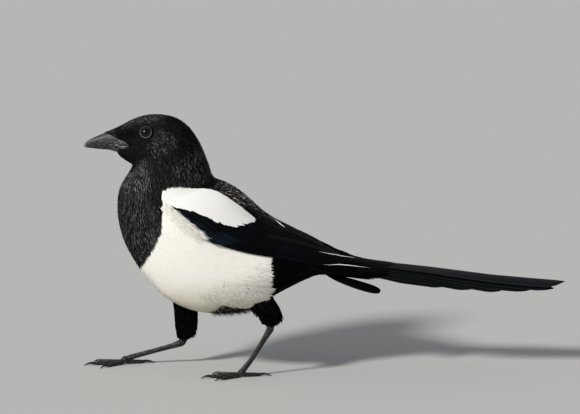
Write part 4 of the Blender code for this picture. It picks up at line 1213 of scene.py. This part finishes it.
# Rows of coverts: how many, first and last start and end along the body, shares of the wing's
# breadth, breadth in mm and height over the body.
COVERT_ROWS = (
    (8, (11.0, 11.6), (13.9, 14.8), (0.30, 0.92), 7.0, 3.2, 4.2),
    (4, (10.4, 10.9), (13.2, 13.6), (0.04, 0.24), 6.0, 3.0, 3.8),
    (9, (10.3, 10.9), (12.5, 13.0), (0.20, 0.80), 6.4, 3.4, 4.6),
    (3, (10.2, 10.5), (12.0, 12.3), (0.06, 0.17), 5.4, 3.2, 4.4),
    (9, (9.6, 10.2), (11.3, 11.9), (0.10, 0.70), 5.6, 3.2, 4.4),
    (9, (10.0, 10.4), (11.2, 11.7), (0.05, 0.42), 3.8, 3.2, 4.6),
    (7, (9.8, 10.1), (10.7, 11.1), (0.09, 0.34), 3.2, 3.0, 4.3),
)
for number, (many, starts, ends, shares, wide, low_lift, high_lift) in enumerate(COVERT_ROWS):
    n = np.linspace(0.0, 1.0, many)[:, None]
    s = np.linspace(0.0, 1.0, len(COVERT_SHAPE))[None]
    start = starts[0] + (starts[1] - starts[0]) * n
    end = ends[0] + (ends[1] - ends[0]) * n + 0.12 * (rng.random((many, 1)) - 0.5)
    place = start + (end - start) * s
    share = shares[0] + (shares[1] - shares[0]) * n + 0 * s
    flat = 1 - smooth(share, 0.55, 0.95)
    lift = (low_lift + (high_lift - low_lift) * s) * (0.15 + 0.85 * flat)
    lift -= 1.5 * (1 - smooth(s, 0.0, 0.3)) * flat
    half = wide / 2 * (1 + 0.1 * (rng.random((many, 1)) - 0.5))
    spines, outs = wing_vanes(place, share, lift, np.full(place.shape, COVERT_ROLL))
    plumes = marked(rng.random(many), 0.05 + 0.6 * rng.random(many) ** 3)
    both_wings(f"coverts_{number + 1}", spines, outs, half * COVERT_SHAPE[None],
               COVERT_THICK * COVERT_SHAPE[None] + 0 * half, plumes,
               spot_of(place[:, 3], wing_angle(place, share)[:, 3]),
               wing_blue if number in (1, 3) else wing_gloss)

# White webs that show as thin lines along two primaries and one scapular: place and angle at
# three points, half width in mm and height over the body.
WHITE_LINES = ((((17.1, 36.0), (18.7, 29.5), (20.5, 34.5)), 0.32, 3.6),
               (((18.4, 57.0), (20.5, 66.0), (22.0, 67.0)), 0.30, 2.6),
               (((13.9, 8.0), (14.3, 11.5), (14.7, 15.0)), 0.80, 1.6))
for number, (line, half, height) in enumerate(WHITE_LINES):
    s = np.linspace(0.0, 1.0, 9)[None]
    place, angle = (np.interp(s, (0.0, 0.5, 1.0), np.array(line)[:, k]) for k in (0, 1))
    both_wings(f"white_line_{number + 1}", on_body(place, angle, height + 0 * s),
               body_out(place, angle), half * np.sin(np.pi * (0.04 + 0.94 * s)), 0.12 + 0 * s,
               marked(np.array((0.6,)), np.zeros(1)), spot_of(place[:, 3], angle[:, 3]),
               white_plumage)

# Fringes. Soft white flank feathers hang over the wing's lower edge in front, and dark hairy
# ones hang below the belly between the thighs.
FLANK = ((9.0, 60.0), (13.6, 60.0), (13.6, 110.0), (9.0, 110.0))


def over_wing(place, angle):
    """The height of the folded wing over the body near its lower edge."""
    return 0.5 + 5.6 * smooth(wing_angle(place, 0.0) - unsigned(angle), -5.0, 2.0)


def flank(place, angle):
    """Just below the wing's lower edge."""
    edge = unsigned(angle) - wing_angle(place, 0.0)
    return (edge > -1.0) & (edge < 9.0)


coat_piece("coat_flank", soft_plumage, 9.4, 12.0, flank,
           length=((9.0, 6.0), (12.0, 9.5)), breadth=((9.0, 0.6), (13.0, 0.7)),
           closeness=1.3, shape=TUFT, sway=12.0, ruffle=0.6, outline=FLANK, raise_by=over_wing,
           turn_to=-26.0, soft=0.9)
coat_piece("coat_fringe", black_plumage, 15.3, 17.1,
           lambda p, a: (unsigned(a) > 132.0) & (unsigned(a) < 162.0),
           length=((14.0, 6.0), (17.0, 7.5)), breadth=((14.0, 0.5), (17.0, 0.6)),
           closeness=1.5, shape=TUFT, sway=18.0, ruffle=4.5, raise_by=even(0.6), free=True)

# Tail. Twelve glossy feathers lie over one another like a roof, the middle pair on top and
# longest, each pair below it shorter, so that the tips step up to a long wedge.

# By place along the tail: the height of its ridge, how it bows down to its sides as a share of
# the breadth squared, and how far it is spread.
TAIL_RIDGE = ((-209.0, 80.6), (-180.0, 83.0), (-145.0, 86.2), (-90.0, 93.0), (-50.0, 97.6),
              (-25.0, 101.6))
TAIL_BOW = ((-209.0, 0.024), (-145.0, 0.022), (-90.0, 0.0125), (-50.0, 0.020), (-25.0, 0.034))
TAIL_SPREAD = ((-209.0, 1.0), (-95.0, 1.0), (-65.0, 0.84), (-40.0, 0.60), (-25.0, 0.50))
TAIL_TIPS = (-209.0, -199.0, -181.0, -157.0, -131.0, -106.0)
# Where the feathers start, the length of their rounded tips, and how thick shafts and vanes are
# and how much thinner at their edges, in mm.
TAIL_START = -27.0
TIP_LENGTH = 15.0
SHAFT_THICK, VANE_THICK, EDGE_THINNER = 0.45, 0.32, 0.22
TAIL_ROWS = 22
TAIL_ACROSS = np.array((-1.0, -0.6, -0.25, -0.05, 0.05, 0.25, 0.6, 1.0))


def tail_rings(low_edge, high_edge, tip, depth, shaft):
    """One tail feather between two edges, a depth below the top one, its shaft off the middle."""
    s = np.linspace(0.0, 1.0, TAIL_ROWS) ** 0.9
    x = TAIL_START + (tip - TAIL_START) * s
    back = x - tip
    width = np.clip(np.sqrt(np.clip(back / TIP_LENGTH, 0.0, 1.0)) * 0.92 + 0.08, 0.05, 1.0)
    middle, half = (low_edge + high_edge) / 2, (high_edge - low_edge) / 2
    y = (middle + shaft * (1 - width))[:, None] + half * width[:, None] * TAIL_ACROSS[None]
    y = y * table(TAIL_SPREAD, x)[:, None]
    z = table(TAIL_RIDGE, x)[:, None] - table(TAIL_BOW, x)[:, None] * y * y - depth
    quill = SHAFT_THICK * (1 - 0.7 * s)[:, None] * np.exp(-(TAIL_ACROSS[None] / 0.12) ** 2)
    thick = VANE_THICK - EDGE_THINNER * np.abs(TAIL_ACROSS[None]) + 0 * z
    upper = np.stack((x[:, None] + 0 * y, y, z + quill + thick / 2), -1)
    under = np.stack((x[:, None] + 0 * y, y, z - thick / 2 - quill * 0.5), -1)
    return np.concatenate((upper, under[:, ::-1]), 1)


tail_gloss = glossy_plumage("tail_plumage", (0.005, 0.010, 0.009), (0.009, 0.008, 0.014),
                            metallic=0.35, roughness=0.34, barbs=700.0)
# Half the breadth of the middle pair, what each lower pair adds to it, how far the tips of the
# lower ones lean outward, and how far one feather lies below the next, in mm.
WIDE = 12.5
PAIR_STEP = 1.9
SHAFT_OUTWARD = 3.0
TAIL_LAYER = 1.15
feathers = [tail_rings(0.5 - WIDE, WIDE + 0.5, TAIL_TIPS[0], 0.0, 0.0),
            tail_rings(-WIDE - 0.5, WIDE - 0.5, TAIL_TIPS[0] + 2.5, TAIL_LAYER, 0.0)]
for pair in range(1, len(TAIL_TIPS)):
    outer = WIDE + PAIR_STEP * pair
    for low_edge, high_edge, shaft in ((1.0, outer, SHAFT_OUTWARD), (-outer, -1.0, -SHAFT_OUTWARD)):
        feathers.append(tail_rings(low_edge, high_edge, TAIL_TIPS[pair], TAIL_LAYER * (pair + 1),
                                   shaft))
rings = np.stack(feathers)
many = len(rings)
plumes = marked(rng.random(many), 0.05 + 0.3 * rng.random(many))
spots = np.stack((np.full(many, 0.97), np.linspace(0.06, 0.9, many)), -1)
tail_shares = np.concatenate((TAIL_ACROSS, TAIL_ACROSS[::-1])) * 0.5 + 0.5
mesh = ring_mesh("tail_feathers", rings, tail_shares, plumes, spots)
turn_outward(mesh)
mesh.set_sharp_from_angle(angle=math.radians(50))
tail = place_in_scene("tail_feathers", mesh, tail_gloss)
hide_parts("tail")
# The outer feather that hangs loose on the left: x, y, z of its shaft and its breadth, in mm.
LOOSE = ((0.5, 5.2, 90.2, 4.0), (-10.0, 6.5, 85.2, 7.0), (-26.0, 7.4, 79.8, 9.6),
         (-40.0, 7.9, 75.6, 9.4), (-46.4, 8.0, 73.8, 6.4), (-48.2, 8.0, 73.1, 2.4))
LOOSE_TILT = math.radians(38.0)
LOOSE_RINGS = 18
LOOSE_THICK = 0.35
shaft = smooth_rows(LOOSE, LOOSE_RINGS)[None]
facing = np.array((0.0, math.sin(LOOSE_TILT), math.cos(LOOSE_TILT)))
mesh = vane_mesh("loose_feather", shaft[..., :3], np.broadcast_to(facing, (1, LOOSE_RINGS, 3)),
                 shaft[..., 3] / 2, np.full((1, LOOSE_RINGS), LOOSE_THICK),
                 marked(np.array((0.5,)), np.array((0.3,))), np.array(((0.97, 0.5),)),
                 QUILL_SECTION)
place_in_scene("loose_feather", mesh, wing_gloss)

# Floor, lamps and camera. The floor is plain and grey. One wide, soft sun stands high on the
# left, and a pale sky fills its shadows. The camera looks a little down on the bird's left side.
floor_material, sums, shader = finish_named("floor", Roughness=0.9)
shader.inputs["Base Color"].default_value = (0.46, 0.46, 0.455, 1.0)
FLOOR_REACH = 30.0
made = bmesh.new()
bmesh.ops.create_grid(made, x_segments=1, y_segments=1, size=FLOOR_REACH)
floor_mesh = bpy.data.meshes.new("floor")
made.to_mesh(floor_mesh)
made.free()
floor_mesh.materials.append(floor_material)
floor = add_thing("floor", floor_mesh)

bpy.context.scene.view_settings.view_transform = "Standard"
world = bpy.data.worlds.new("studio")
bpy.context.scene.world = world
world.use_nodes = True
sky = world.node_tree.nodes["Background"]
sky.inputs["Color"].default_value = (0.93, 0.96, 1.0, 1.0)
sky.inputs["Strength"].default_value = 0.38

SUN_WAY = (0.62, 0.55, 0.60)
sun = bpy.data.lights.new("sun", "SUN")
sun.energy = 3.5
sun.angle = math.radians(9.0)
sun.color = (1.0, 0.975, 0.93)
sun_thing = add_thing("sun", sun)
sun_thing.rotation_euler = Vector(SUN_WAY).to_track_quat("Z", "Y").to_euler()

ELEVATION = math.radians(12.0)
AIM = Vector((0.02915, 0.0, 0.14676))
DISTANCE = 6.0
WIDTH_SEEN = 0.5046
camera = bpy.data.cameras.new("camera")
camera.sensor_width = 36.0
camera.lens = camera.sensor_width * DISTANCE / WIDTH_SEEN
camera.clip_end = 100.0
view = add_thing("camera", camera)
view.location = AIM + Vector((0.0, math.cos(ELEVATION), math.sin(ELEVATION))) * DISTANCE
view.rotation_euler = (AIM - view.location).to_track_quat("-Z", "Y").to_euler()
bpy.context.scene.camera = view
